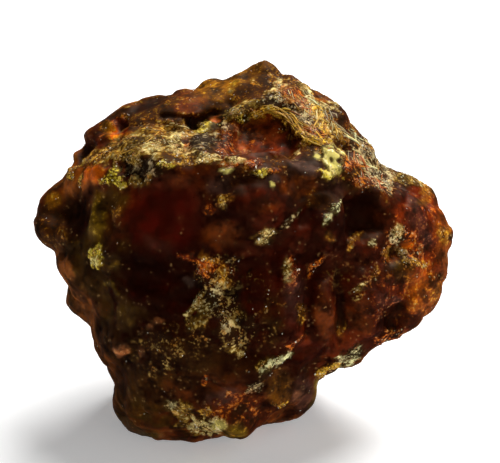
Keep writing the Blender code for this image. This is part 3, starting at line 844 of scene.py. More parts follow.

# what lies on the whole stretches, each row over those before it
# near-black rows laid sunk into hollows and clefts are painted shade
PATCHES = patches_of(
    # top edge and plates
    (HONEY, -2, 25.2, 5.6, 1.6, 22, 0.9), (HONEY, -5.6, 24.6, 1.8, 0.7, 8, 1),
    (COPPER, 2.9, 26.2, 3, 2, -12, 1), (HUSK, 2.2, 23.6, 3.4, 1.9, 0, 0.8),
    (HUSK, 7.6, 24, 2.2, 1.4, -30, 0.9), (COPPER, -4.4, 22.6, 3.4, 1.8, 12, 0.3),
    (GARNET, -8.2, 22, 2.6, 1.6, 5, 0.45), (HUSK, -13, 21.6, 4, 1, 14, 0.9),
    (NIGHT, -14.6, 21.4, 3.2, 0.45, 17, 0.9, -0.2), (HUSK, -13.2, 19.2, 3.8, 1.1, -4, 0.9),
    (NIGHT, -6.8, 19.3, 2.2, 0.8, 0, 1, -0.9), (LIME, -5.6, 18.5, 2.5, 0.6, 22, 0.95, 0.2),
    (GLOW, -4, 19.5, 1, 0.6, 30, 0.9),
    # left shoulder
    (UMBER, -21.6, 17.2, 3.4, 1.8, 48, 0.7), (RUST, -18.6, 18.2, 1.9, 1.5, 0, 1),
    (GLOW, -18.9, 17.6, 1, 0.7, 0, 0.8), (HONEY, -19.9, 18.2, 0.7, 0.9, 0, 1, 0.15),
    (MAROON, -17.6, 18.5, 1, 0.9, 0, 1, -0.4), (AMBER, -17.6, 16.6, 1.8, 0.8, 20, 0.6),
    (MAROON, -22, 15.8, 1.6, 0.9, 40, 0.7), (NIGHT, -23.2, 14.5, 1.7, 0.8, 48, 1, -0.8),
    # crusted shelf
    (LICHEN, -13.4, 16, 7.6, 1.9, 13, 0.85), (TAN, -11.6, 17.9, 3.6, 0.8, -8, 0.5),
    (TAN, -19, 14.6, 2.6, 0.8, 12, 0.6), (CREAM, -9.6, 16.5, 1.3, 1.1, 10, 1, 0.3),
    (RUST, -8.2, 15.9, 0.7, 1.2, 10, 0.9), (CREAM, -13.4, 15.5, 1.4, 0.9, 15, 0.75),
    (SOOT, -6, 16.2, 1.9, 1.2, 0, 1, 0.25), (ASH, -4, 16.6, 0.7, 1.1, 10, 0.9),
    (CREAM, -9, 14.8, 1.8, 0.5, -8, 0.6), (SOOT, -14.9, 13, 2.8, 1, 4, 1, -0.3),
    (LICHEN, -16, 13.5, 0.9, 0.8, 0, 1, 0.3), (SOOT, -14.6, 11.6, 2.6, 1.3, -4, 0.9, -0.4),
    (LICHEN, -15.7, 10.6, 1, 0.7, 0, 0.9, 0.2), (LICHEN, -14.1, 10.8, 0.6, 0.8, 0, 0.7),
    (LIME, -18.8, 10.7, 1.8, 0.7, -10, 1, 0.2), (LIME, -19.2, 11.6, 0.8, 0.7, 0, 1, 0.2),
    (LIME, -11.2, 13.2, 1.3, 0.6, 0, 0.9, 0.2), (TAN, -8, 13.7, 3.2, 0.6, 2, 0.9),
    (CREAM, -5, 13.9, 1.8, 0.7, -8, 0.9), (RUST, -2.4, 15.8, 1.5, 2.2, 10, 0.9),
    (RUST, -2.2, 13, 1.6, 0.5, -5, 1), (CHALK, -2.8, 12.3, 0.9, 0.35, 0, 1, 0.25),
    (CREAM, -1.2, 13.5, 1.2, 0.45, -10, 1, 0.25), (ASH, -1.9, 18.3, 1.6, 0.5, -25, 0.9, 0.2),
    (LICHEN, -1.6, 20.4, 2.2, 0.9, 12, 1, 0.15), (LICHEN, 0.9, 21.7, 2.6, 0.6, 14, 0.9),
    # recess
    (GARNET, 3.2, 16.8, 4.8, 3.6, -6, 1), (BROWN, 3, 17.6, 3, 1.6, 10, 0.6),
    (RUST, 0.6, 17.2, 1.3, 1.8, 0, 0.5), (MAROON, 6.8, 16.8, 1.4, 1.8, -20, 0.9),
    (GLOW, 2, 17.4, 0.9, 0.5, 30, 0.4), (GLOW, -0.4, 15.4, 0.7, 1.1, 10, 0.5),
    (UMBER, 3.4, 14, 3.6, 1.2, 0, 0.8), (LIME, 0.4, 19.7, 1.8, 0.5, 2, 0.9),
    (AMBER, 1.6, 19.2, 1.5, 0.4, 2, 0.9), (RUST, 1.4, 13.3, 1.8, 0.4, 8, 0.9, 0.2),
    (LIME, 2.6, 12, 1.3, 0.5, 0, 1, 0.25), (RUST, 4.4, 12, 0.8, 0.4, 0, 0.7),
    # dome
    (BARK, 10.2, 19.8, 7.4, 4.4, -48, 1), (ASH, 8, 20.8, 2.8, 1.3, -20, 0.9),
    (ASH, 4.3, 22.3, 1.6, 0.8, 30, 0.9), (CREAM, 4.8, 23.9, 1, 1.1, -20, 0.9, 0.15),
    (RUST, 7, 22.8, 2.4, 0.9, -32, 0.8), (RUST, 9.8, 22.3, 0.8, 0.7, 0, 1),
    (AMBER, 11.2, 22.6, 1.2, 0.6, -30, 0.8), (GOLD, 11.2, 19.6, 2.6, 1.2, -68, 0.85),
    (UMBER, 13.8, 19.8, 2.2, 1.4, -50, 0.8), (MAROON, 15.4, 17.6, 0.6, 1.5, 10, 0.7),
    (RUST, 9.6, 17.5, 1.5, 0.8, -25, 1), (GLOW, 10, 16.2, 1.6, 0.5, -25, 0.7),
    (CREAM, 12.9, 18, 1, 0.8, -20, 0.9, 0.1), (LIME, 12.9, 13.4, 1.8, 2.1, 8, 1, 0.2),
    (CHALK, 12.9, 14, 1.4, 2.2, 8, 1, 0.25), (CHALK, 10.3, 14.4, 0.6, 0.5, 0, 1, 0.1),
    (CREAM, 7.4, 14.8, 0.5, 0.4, 0, 0.7), (HUSK, 5.6, 13.5, 3, 0.9, 0, 0.8),
    (SLATE, 8.8, 12.8, 2.2, 1.5, -12, 0.8), (BROWN, 8, 9.9, 3.4, 1.2, 0, 0.9),
    (HUSK, 11, 7.6, 2.8, 1.3, -15, 0.75), (SLATE, 12.4, 9.8, 1.8, 1.3, 0, 0.35),
    # saddle
    (BARK, 17.6, 13.8, 5.8, 2.8, -46, 1), (RUST, 15.6, 13.4, 1.3, 1, 40, 0.8),
    (MAROON, 15.2, 15.4, 0.6, 1.4, 0, 0.6), (ASH, 19.2, 11.2, 2.6, 1, -42, 1),
    (ASH, 17.4, 13.4, 2.6, 0.8, -46, 0.8), (RUST, 16.8, 10.6, 1.8, 0.7, 0, 0.6),
    (GOLD, 19.2, 13, 0.9, 0.5, -40, 0.9), (CREAM, 22, 11.3, 0.7, 0.4, 0, 1),
    # right lobe
    (LICHEN, 23.8, 10.8, 2.6, 0.8, -16, 0.95), (CREAM, 25.6, 10.2, 0.7, 0.5, -30, 0.9),
    (MAROON, 23.6, 8.8, 2.2, 1.3, -10, 0.7), (HONEY, 26.4, 9, 0.9, 1, -30, 1),
    (HONEY, 25.6, 7.6, 0.8, 0.5, 0, 0.7), (GARNET, 27.2, 5.6, 1.3, 2.6, 12, 0.8),
    (LIME, 28.7, 2.9, 0.8, 1.4, 0, 0.8), (ASH, 28.9, -0.4, 0.4, 0.9, 0, 0.6),
    (SLATE, 24.9, 5, 1.1, 2.4, 5, 0.6), (RUST, 22.2, 1, 2.8, 2.4, 0, 0.95),
    (GLOW, 23.4, 1.4, 0.8, 0.6, 0, 0.8), (GLOW, 21.2, -0.6, 0.8, 0.6, 30, 0.6),
    (GLOW, 25, -3.4, 1, 0.6, -30, 0.4), (ASH, 21.6, 2.3, 0.5, 1, 20, 0.9, 0.2),
    (TAN, 20.4, 0.4, 0.9, 0.6, 30, 0.8), (OLIVE, 22.6, -2.4, 2, 1.7, 0, 1, 0.2),
    (LICHEN, 23.6, -1, 1.4, 0.6, -25, 0.8), (GARNET, 27, -0.6, 1.6, 2.4, 5, 0.7),
    (TAN, 27.6, -3, 1.2, 0.4, -10, 0.8), (AMBER, 26.2, -6.2, 2.8, 2.8, 40, 0.85),
    (HONEY, 27.6, -5.4, 0.6, 1.3, -15, 0.9), (GLOW, 26, -4.6, 2.2, 3.2, 10, 0.28),
    (SLATE, 26, 2.2, 0.9, 1.2, 10, 0.8), (CREAM, 22, 3.4, 0.7, 0.9, 0, 0.7),
    (CREAM, 22.8, 0.2, 1, 0.6, -30, 0.6), (AMBER, 28.6, 3, 1.2, 7, 0, 0.5),
    (NIGHT, 21.4, -9.2, 1.9, 2.7, -24, 1, -0.3), (SLATE, 21.8, -6.6, 0.7, 0.5, 0, 0.9),
    (RUST, 20.6, -11.8, 2.2, 0.6, 32, 0.9),
    # left flank
    (AMBER, -23.6, 10.6, 2.8, 1.4, 36, 0.9), (GLOW, -21.9, 11.6, 1.5, 1, 20, 0.8, 0.35),
    (GOLD, -23.4, 11.2, 0.5, 0.35, 0, 1), (GOLD, -25.2, 11.4, 0.5, 0.35, 0, 1),
    (GOLD, -23.7, 10.3, 0.4, 0.3, 0, 0.9), (HONEY, -27.4, 7.9, 1.3, 1.1, 30, 0.9),
    (HUSK, -28.2, 3.8, 2, 2.8, 0, 0.7), (NIGHT, -24.4, 5.2, 1.5, 3.4, 0, 1, -0.5),
    (OLIVE, -18.6, 7.6, 1.8, 2, 0, 0.8), (MOSS, -21.2, 5.6, 1.1, 3.6, -4, 0.9, 0.2),
    (TAN, -18.4, 6.3, 0.9, 0.7, 0, 0.6), (OLIVE, -23.4, 1, 2, 1.6, 10, 0.8),
    (LIME, -21.3, -0.3, 0.9, 1.5, -12, 0.95), (CHALK, -21.6, -0.9, 0.5, 0.6, 0, 0.6),
    (UMBER, -18.4, 2.6, 1.2, 0.6, 10, 0.6), (MOSS, -18.7, -1.7, 0.8, 0.6, 0, 0.8),
    (AMBER, -22.8, -7.4, 1.3, 2.6, 25, 0.55), (AMBER, -26, -1.6, 0.8, 2.4, 25, 0.6),
    (OLIVE, -17, -8.6, 2.6, 1.8, 0, 0.8),
    # broad face
    (EMBER, -11.6, 5.6, 4.8, 4.4, 0, 0.9), (UMBER, -7.6, 11.4, 3.8, 1.6, -6, 0.7),
    (SLATE, -3.6, 10.2, 1.6, 1.6, 0, 0.5), (TAN, -3, 8, 1.2, 0.7, 15, 0.95, 0.15),
    (CREAM, -3, 7.1, 0.4, 0.3, 0, 0.8), (RUST, -5.4, 6.6, 0.9, 0.7, 10, 0.8),
    (BROWN, -3, 3, 2.8, 1.8, 0, 0.9), (MAROON, 1.8, 7, 3.6, 2.6, 0, 0.8),
    (BROWN, 3.2, 7, 1.8, 0.8, 10, 0.6), (CREAM, 3, 2.7, 1.7, 0.8, 32, 0.9, 0.2),
    (ASH, 6.6, 5, 1.7, 0.45, 40, 0.8), (SLATE, 4.2, 10.8, 1, 0.5, 0, 0.8),
    (CHALK, 3.8, 10.1, 0.3, 0.3, 0, 1), (TAN, 12.2, 2.8, 0.6, 1, 20, 0.6),
    (NIGHT, 16.8, 5.2, 3.6, 3.4, 10, 1, -0.4), (UMBER, 19.4, 5.4, 1, 3, 0, 0.6),
    (UMBER, 18.6, 2.4, 2.2, 1.2, 0, 0.8), (FROST, 18.3, 1.9, 0.5, 0.4, 0, 0.6),
    # painted blue-grey highlight in the small pit beside the big hollow
    (NIGHT, -14.4, -2.6, 4.6, 3.6, 6, 1), (SLATE, -8, -3.8, 1, 0.7, -30, 1),
    (SAND, -3.6, -2.8, 2.8, 2.6, 0, 0.9), (SAND, -3.4, -6, 2.6, 3.2, 20, 0.9),
    (RUST, -3.8, -1.6, 2.6, 0.9, -25, 0.85), (RUST, -5.6, -1.6, 1.5, 1.2, -40, 1, 0.1),
    (TAN, -2.8, -3.4, 1.2, 1.5, 10, 0.9, 0.1), (GLOW, -6.2, -1.4, 0.9, 0.5, -30, 0.5),
    (ASH, -4.6, -6.2, 1, 1.4, -30, 0.8), (CREAM, -6, -7.6, 1.1, 0.8, 45, 0.75, 0.1),
    (LICHEN, -7.2, -9.6, 1.3, 1.2, -10, 0.8), (SAND, -1.6, -10.8, 2.8, 2.6, 0, 0.75),
    (ASH, -2.6, -10.4, 1.1, 0.8, 0, 0.9), (LICHEN, -0.8, -8.6, 0.8, 1.6, -30, 0.6),
    (CREAM, -1.4, -13.6, 1.2, 0.5, -15, 0.8), (SAND, -11.6, -12, 0.9, 0.6, 0, 0.5),
    (SAND, -11.6, -15.6, 0.6, 0.8, 0, 0.6), (SAND, -7.2, -12.4, 1.2, 0.4, 15, 0.5),
    (SALMON, -12.5, -9.5, 0.6, 0.5, 0, 0.9, 0.1), (SALMON, -13.6, -10.5, 0.5, 0.4, 0, 0.7),
    (SALMON, -17.9, -13.6, 0.9, 1, -20, 1, 0.3), (SALMON, -15.1, -13.9, 0.7, 0.8, 0, 0.7, 0.25),
    (FLAME, 6.8, -2.4, 0.8, 2.2, 0, 0.95, 0.1), (CREAM, 5.9, -2, 0.5, 1.7, 5, 0.95, 0.1),
    (SLATE, 7.2, -6.2, 1.6, 3.4, 0, 0.5, 0.25), (GARNET, 8.3, -11.4, 0.8, 1.8, 8, 0.7),
    (TAN, 8, -8.4, 0.7, 1.3, 5, 0.9), (BROWN, 11.4, -8.6, 1.5, 4, 4, 0.9, 0.3),
    (TAN, 13.9, -10.2, 0.6, 1.8, 4, 0.8), (BROWN, 16.4, -8.8, 1.7, 3, 12, 0.6, 0.3),
    (SLATE, 19.8, -6.4, 1.2, 1, -40, 0.5), (CREAM, 16.6, -4.6, 0.9, 0.35, 25, 0.8),
    (SAND, 15.9, -6, 0.6, 0.5, 0, 0.7), (NIGHT, 13.6, -6, 0.6, 4.8, 6, 0.9, -0.45),
    (NIGHT, 9.4, -7.6, 0.5, 4, 4, 0.9, -0.45), (NIGHT, 1.8, -6, 2, 3, 0, 0.5),
    (TAN, 18.9, -2.6, 0.5, 1.1, -10, 0.7), (OLIVE, 4.2, -9.4, 1.6, 3.2, -6, 0.6),
    (SAND, -10.5, -13, 5.6, 3.4, 20, 0.34), (SAND, 1, -8, 4.6, 6, 0, 0.24), (SAND, 14, -2.6, 6, 3, 0, 0.26),
    (RUST, 22.8, -6.6, 4.6, 4.6, 0, 0.32), (RUST, 27, 4, 2.6, 6, 0, 0.28),
    # foot
    (GARNET, 14, -13.6, 3.6, 1.6, 32, 0.5), (FROST, 14.8, -15, 2.2, 1.1, 40, 0.8),
    (LICHEN, 2.9, -16, 1, 0.8, 0, 0.8), (ASH, 1.4, -19, 1.2, 0.8, 20, 0.8),
    (COPPER, 5, -19, 1.9, 2.2, 0, 0.9, 0.1), (SALMON, 7.7, -20.2, 0.6, 0.9, -30, 0.8),
    (SLATE, 8.4, -20.6, 1.5, 2.8, 8, 0.55), (SLATE, -3.6, -20.6, 2.8, 1.2, 8, 0.6),
    (FROST, -10.6, -21.6, 0.8, 0.8, 0, 0.5), (NIGHT, -10, -22.8, 0.8, 0.5, 0, 0.9),
    (LICHEN, -8.7, -22.8, 1.1, 1.6, 0, 0.9, 0.1), (BROWN, -8.5, -20.2, 1, 0.8, 0, 0.7),
    (RUST, -1.2, -22.4, 3.2, 2, 10, 0.55), (TAN, -5.8, -22.8, 1, 0.6, 10, 0.9),
    (CREAM, -5.6, -24.4, 2.2, 1.1, -4, 1, 0.25), (CHALK, -3.9, -24.4, 1.1, 0.7, 0, 0.8),
    (MOSS, -1.4, -25.6, 1.8, 1, 0, 0.9), (RUST, -5.6, -18, 0.6, 0.5, 0, 0.8),
    (OLIVE, -15, -21.6, 3.8, 3.6, 0, 0.6), (MOSS, -13.8, -26, 1.2, 0.5, 8, 0.9),
)

# thin lines on top of all: clefts, folds, rims and strings of crumbs
VEINS = veins_of(
    # the near-black line along the cleft is painted shade
    (((-12, 20.2), (-9.6, 20), (-8, 19.4), (-5.6, 19.8), (-4.2, 20.5)), 0.3, NIGHT, 0.9, -0.5),
    (((-12.6, 19.7), (-10.2, 19.2), (-8.6, 18.4), (-7.8, 17.8)), 0.2, TAN, 0.6, 0.05),
    (((-25.2, 12), (-23, 13.2), (-21, 14.3), (-19, 14.6)), 0.35, TAN, 0.9, 0.2),
    (
        ((1.2, 20.2), (3.4, 20.9), (5.4, 20.3), (7, 18.8), (8.3, 17.3), (10, 16.3), (12, 16.2)),
        0.4, GOLD, 1, 0.3,
    ),
    (((8.2, 24.3), (8.8, 23.2), (9.6, 22.2)), 0.4, CREAM, 1, 0.2),
    (((10.2, 21.9), (11.6, 21.4), (13.2, 21.1)), 0.35, CREAM, 0.9, 0.15),
    (((15.6, 17.2), (17.2, 15.4), (19.4, 12.9), (21, 11.6)), 0.5, ASH, 0.9, 0.1),
    (((24.5, -0.5), (25.4, -1.1), (26.2, -1.6)), 0.25, GOLD, 0.6),
    (((-19.9, -4), (-19, -4.4), (-18.3, -5.6)), 0.35, MOSS, 0.9, 0.2),
    (((11.6, 4.5), (12.3, 5.6), (13.2, 7)), 0.45, FROST, 1, 0.15),
    (((13, 6.8), (13.8, 7.8)), 0.2, FROST, 0.9, 0.2),
    (((16.3, 3.6), (15.7, 2.2), (15.1, 1)), 0.35, TAN, 0.7, 0.15),
    (((-9.2, -0.4), (-7.6, -0.6), (-6.2, -1.6), (-5.4, -3.2)), 0.3, FLAME, 0.8, 0.1),
    (((-6.4, 0.2), (-5, -0.6), (-3, -1.2)), 0.35, TAN, 0.7, 0.1),
    (((-6.4, -5.8), (-7.6, -7.4), (-8.4, -8.4)), 0.35, CREAM, 0.9, 0.2),
    (((9.2, -3.1), (9.8, -1.8), (10.9, -0.4)), 0.35, FLAME, 0.95, 0.2),
    (((10.9, -17.3), (12.2, -16.5), (13.4, -15.7)), 0.45, GOLD, 1),
    (((2.6, -17), (3.9, -15.9), (6.3, -14.4)), 0.5, FROST, 0.85, 0.05),
    (((6.3, -13.4), (7.3, -12.6), (8.6, -11.4)), 0.35, RUST, 0.8),
    (((3.9, -21), (5, -21.4), (6.2, -20.8)), 0.25, GOLD, 0.7, 0.1),
    (((10.4, -18.2), (10.3, -20.6), (9.2, -22.8)), 0.5, MOSS, 0.9),
)


@dataclass
class Weathering:
    """Lays the tones over the lump: noise all round, and the patches on the side they show on.

    The grounds are whole stretches, and the marks lie on them, each over those before it. Between
    them lies a painted glow: amber on the rims that turn away from the eye, standing in for light
    through thin resin. Noises are pairs of height and size: by one the crust covers resin, one pushes
    the stretches about, and one frays their edges.
    """

    eye: Eye
    grounds: tuple[Patch, ...]
    marks: tuple[Stretch, ...]
    resin_size: float = 11.0
    crust_size: float = 7.0
    cover: Pairs = ((1.0, 9.0), (0.6, 3.4))
    crust_hold: float = 0.9
    push: Pairs = ((1.1, 2.6), (0.5, 0.9))
    fray: Pairs = ((0.55, 1.3), (0.45, 0.7))
    painted_rim_glow: float = 0.75

    @staticmethod
    def facing(points: Array, normals: Array) -> Array:
        """1 where the surface faces the eye, fading to 0 past its rim: a step in turn and depth."""
        return smooth_step((normals[:, 2] + 0.12) / 0.3) * smooth_step((points[:, 2] + 6.0) / 5.0)

    # where the painted amber glow lies: the rims that turn away from the eye
    @staticmethod
    def rim(points: Array, normals: Array) -> Array:
        """1 where the surface turns away from the eye near the middle plane, and 0 on the face."""
        return smooth_step((0.62 - normals[:, 2]) / 0.55) * smooth_step((9.0 - points[:, 2]) / 5.0)

    def calm(self, points: Array, normals: Array) -> Array:
        """How calm each point is: the most that any calm stretch makes it.

        Args:
            points: places in the lump's own axes.
            normals: their normals in those axes.

        Returns:
            0 to 1 for each point.
        """
        flat, still = self.eye.seen(points), np.zeros((len(points), 3))
        most = np.max([stretch.weight(flat, still) for stretch in CALM], axis=0)
        return self.facing(points, normals) * most

    @staticmethod
    def banded(points: Array, order: tuple[Tone, ...], size: float, seed: int) -> Array:
        """Tones in bands of one wide noise, shifted by two finer ones.

        Args:
            points: places in the lump's own axes.
            order: the tones, from the noise's lowest to its highest.
            size: the size of the noise.
            seed: which of the many noises to use.

        Returns:
            Rows of colour, speck, opaque, grainy and rough.
        """
        wide = layered_noise(points, ((1.0, size), (0.5, size / 2), (0.22, 1.6)), seed)
        place = np.clip(wide * 0.75 + 0.5, 0, 0.999) * (len(order) - 1)
        table = np.array([tone.row for tone in order])
        low = np.floor(place).astype(int)
        share = smooth_step((place - low - 0.15) / 0.7)[:, None]
        return between(table[low], table[low + 1], share)

    def all_round(self, points: Array, fray: Array) -> Array:
        """The tone of each point before the patches: crust in frayed patches over bare resin.

        Args:
            points: places in the lump's own axes.
            fray: the noise that frays the crust's edges.

        Returns:
            Rows of colour, speck, opaque, grainy and rough.
        """
        resin = self.banded(points, RESINS, self.resin_size, Seed.RESIN)
        crust = self.banded(points, CRUSTS, self.crust_size, Seed.CRUST)
        cover = layered_noise(points, self.cover, Seed.COVER) + 0.6 * fray
        share = self.crust_hold * smooth_step((cover - 0.12) / 0.4)
        return between(resin, crust, share[:, None])

    def pushes(self, points: Array) -> Array:
        """Noise that pushes the stretches across, noise that pushes them up, and their fraying."""
        ways = [layered_noise(points, self.push, Seed.PUSH + way, 2) for way in (0, 1)]
        return np.stack([*ways, layered_noise(points, self.fray, Seed.FRAY)], axis=1)

    def lay(self, points: Array, normals: Array) -> tuple[Array, Array]:
        """Lays every tone.

        Args:
            points: places in the lump's own axes.
            normals: their normals in those axes.

        Returns:
            Rows of colour, speck, opaque, grainy and rough, and how far each point stands proud.
        """
        flat, push = self.eye.seen(points), self.pushes(points)
        facing = self.facing(points, normals)
        rows = self.all_round(points, push[:, 2])
        rise = np.zeros(len(points))
        layers = [(mark.tone, mark.rise, mark.weight(flat, push)) for mark in self.grounds]
        # painted glow: amber laid on the rims, standing in for light through thin resin
        layers.append((AMBER, 0.0, self.rim(points, normals) * self.painted_rim_glow))
        layers += [(mark.tone, mark.rise, mark.weight(flat, push)) for mark in self.marks]
        for tone, height, weight in layers:
            weight = weight * facing
            rows = rows + (tone.row - rows) * weight[:, None]
            rise = between(rise, height, weight)
        return rows, rise


# ---------------------------------------------------------------- finishes


class Wire:
    """A number that leaves a node, on which Python's operators add Math nodes."""

    def __init__(self, bench: "Bench", socket: bpy.types.NodeSocket) -> None:
        """Wraps a socket that belongs to the bench's material."""
        self.bench = bench
        self.socket = socket

    def maths(self, operation: str, *values: "Wire | float") -> "Wire":
        """Adds one Math node, with the values that its sockets take, in order."""
        return self.bench.node("ShaderNodeMath", {"operation": operation}, dict(enumerate(values)))

    def __add__(self, other: "Wire | float") -> "Wire":
        """self + other"""
        return self.maths("ADD", self, other)

    __radd__ = __add__

    def __mul__(self, other: "Wire | float") -> "Wire":
        """self * other"""
        return self.maths("MULTIPLY", self, other)

    __rmul__ = __mul__

    def __sub__(self, other: "Wire | float") -> "Wire":
        """self - other"""
        return self.maths("SUBTRACT", self, other)

    def __rsub__(self, other: "Wire | float") -> "Wire":
        """other - self"""
        return self.maths("SUBTRACT", other, self)

    def at_least(self, other: "Wire | float") -> "Wire":
        """The greater of the two."""
        return self.maths("MAXIMUM", self, other)

    def step(self, low: float, high: float) -> "Wire":
        """0 below low, 1 above high and a smooth cubic between them."""
        settings = {"interpolation_type": "SMOOTHSTEP"}
        return self.bench.node("ShaderNodeMapRange", settings, {0: self, 1: low, 2: high})


class Bench:
    """Where one material's nodes are put together."""

    def __init__(self, name: str) -> None:
        """Starts an empty material.

        Args:
            name: the material's name.
        """
        self.material = bpy.data.materials.new(name)
        self.material.use_nodes = True
        self.tree = self.material.node_tree
        self.tree.nodes.clear()

    def node(
        self,
        kind: str,
        settings: dict[str, object] | None = None,
        values: dict[int | str, object] | None = None,
        result: int | str = 0,
    ) -> Wire:
        """Adds a node.

        Args:
            kind: its type.
            settings: its settings, which are set first.
            values: what its sockets take: a Wire, a number or a colour.
            result: which of its outputs to hand back.

        Returns:
            That output.
        """
        made = self.tree.nodes.new(kind)
        for key, setting in (settings or {}).items():
            setattr(made, key, setting)
        for key, value in (values or {}).items():
            if isinstance(value, Wire):
                self.tree.links.new(value.socket, made.inputs[key])
            elif isinstance(value, tuple) and made.inputs[key].type == "RGBA":
                made.inputs[key].default_value = (*value, 1.0)
            else:
                made.inputs[key].default_value = value
        return Wire(self, made.outputs[result])

    def place(self, shift: float = 0.0) -> Wire:
        """The place on the piece, in metres.

        Args:
            shift: how far to shift it along each axis, in metres.

        Returns:
            The place.
        """
        place = self.node("ShaderNodeTexCoord", result="Object")
        if not shift:
            return place
        return self.node("ShaderNodeVectorMath", {"operation": "ADD"}, {0: place, 1: (shift,) * 3})

    def field(self, name: str, result: str = "Fac") -> Wire:
        """A number or a colour that the piece's points carry."""
        return self.node("ShaderNodeAttribute", {"attribute_name": name}, result=result)

    def noise(self, size: float, detail: float = 2.0, shift: float = 0.0, rough: float = 0.5) -> Wire:
        """Noise from 0 to 1.

        Args:
            size: the size of its features in millimetres.
            detail: how many finer layers it has.
            shift: how far off it is read, in metres, so that two noises differ.
            rough: how strong the finer layers are.

        Returns:
            The noise.
        """
        values = {"Vector": self.place(shift), "Scale": 1 / (size * MM)}
        values |= {"Detail": detail, "Roughness": rough}
        return self.node("ShaderNodeTexNoise", None, values, "Fac")

    def cells(self, size: float) -> Wire:
        """A number from 0 to 1 for each cell of a size in millimetres: the red of its own colour."""
        values = {"Vector": self.place(), "Scale": 1 / (size * MM)}
        return self.red(self.node("ShaderNodeTexVoronoi", None, values, "Color"))

    def red(self, colour: Wire) -> Wire:
        """The red of a colour."""
        return self.node("ShaderNodeSeparateColor", None, {0: colour})

    def grey(self, value: Wire) -> Wire:
        """A grey of a brightness."""
        return self.node("ShaderNodeCombineColor", None, {0: value, 1: value, 2: value})

    def blend(
        self, share: Wire | float, under: Wire | Colour, over: Wire | Colour, how: str = "MIX"
    ) -> Wire:
        """Lays a share, 0 to 1, of one colour over another, or blends them in another way."""
        settings = {"data_type": "RGBA", "blend_type": how}
        return self.node("ShaderNodeMix", settings, {0: share, 6: under, 7: over}, 2)

    def shaded(self, colour: Wire, shade: Wire) -> Wire:
        """A colour times a brightness."""
        return self.blend(1.0, colour, self.grey(shade), "MULTIPLY")

    def bump(self, height: Wire, depth: float) -> Wire:
        """Normals for a height from 0 to 1 that stands for a depth in millimetres."""
        values = {"Height": height, "Distance": depth * MM, "Strength": 1.0}
        return self.node("ShaderNodeBump", None, values, "Normal")

    def shader(self, values: dict[str, object]) -> Wire:
        """A Principled shader with these values."""
        return self.node("ShaderNodeBsdfPrincipled", None, values, "BSDF")

    def finish(self, surface: Wire, volume: Wire | None = None) -> bpy.types.Material:
        """Ends the material.

        Args:
            surface: its surface.
            volume: what fills it, if it is see-through.

        Returns:
            The material.
        """
        end = self.tree.nodes.new("ShaderNodeOutputMaterial")
        self.tree.links.new(surface.socket, end.inputs["Surface"])
        if volume is not None:
            self.tree.links.new(volume.socket, end.inputs["Volume"])
        return self.material


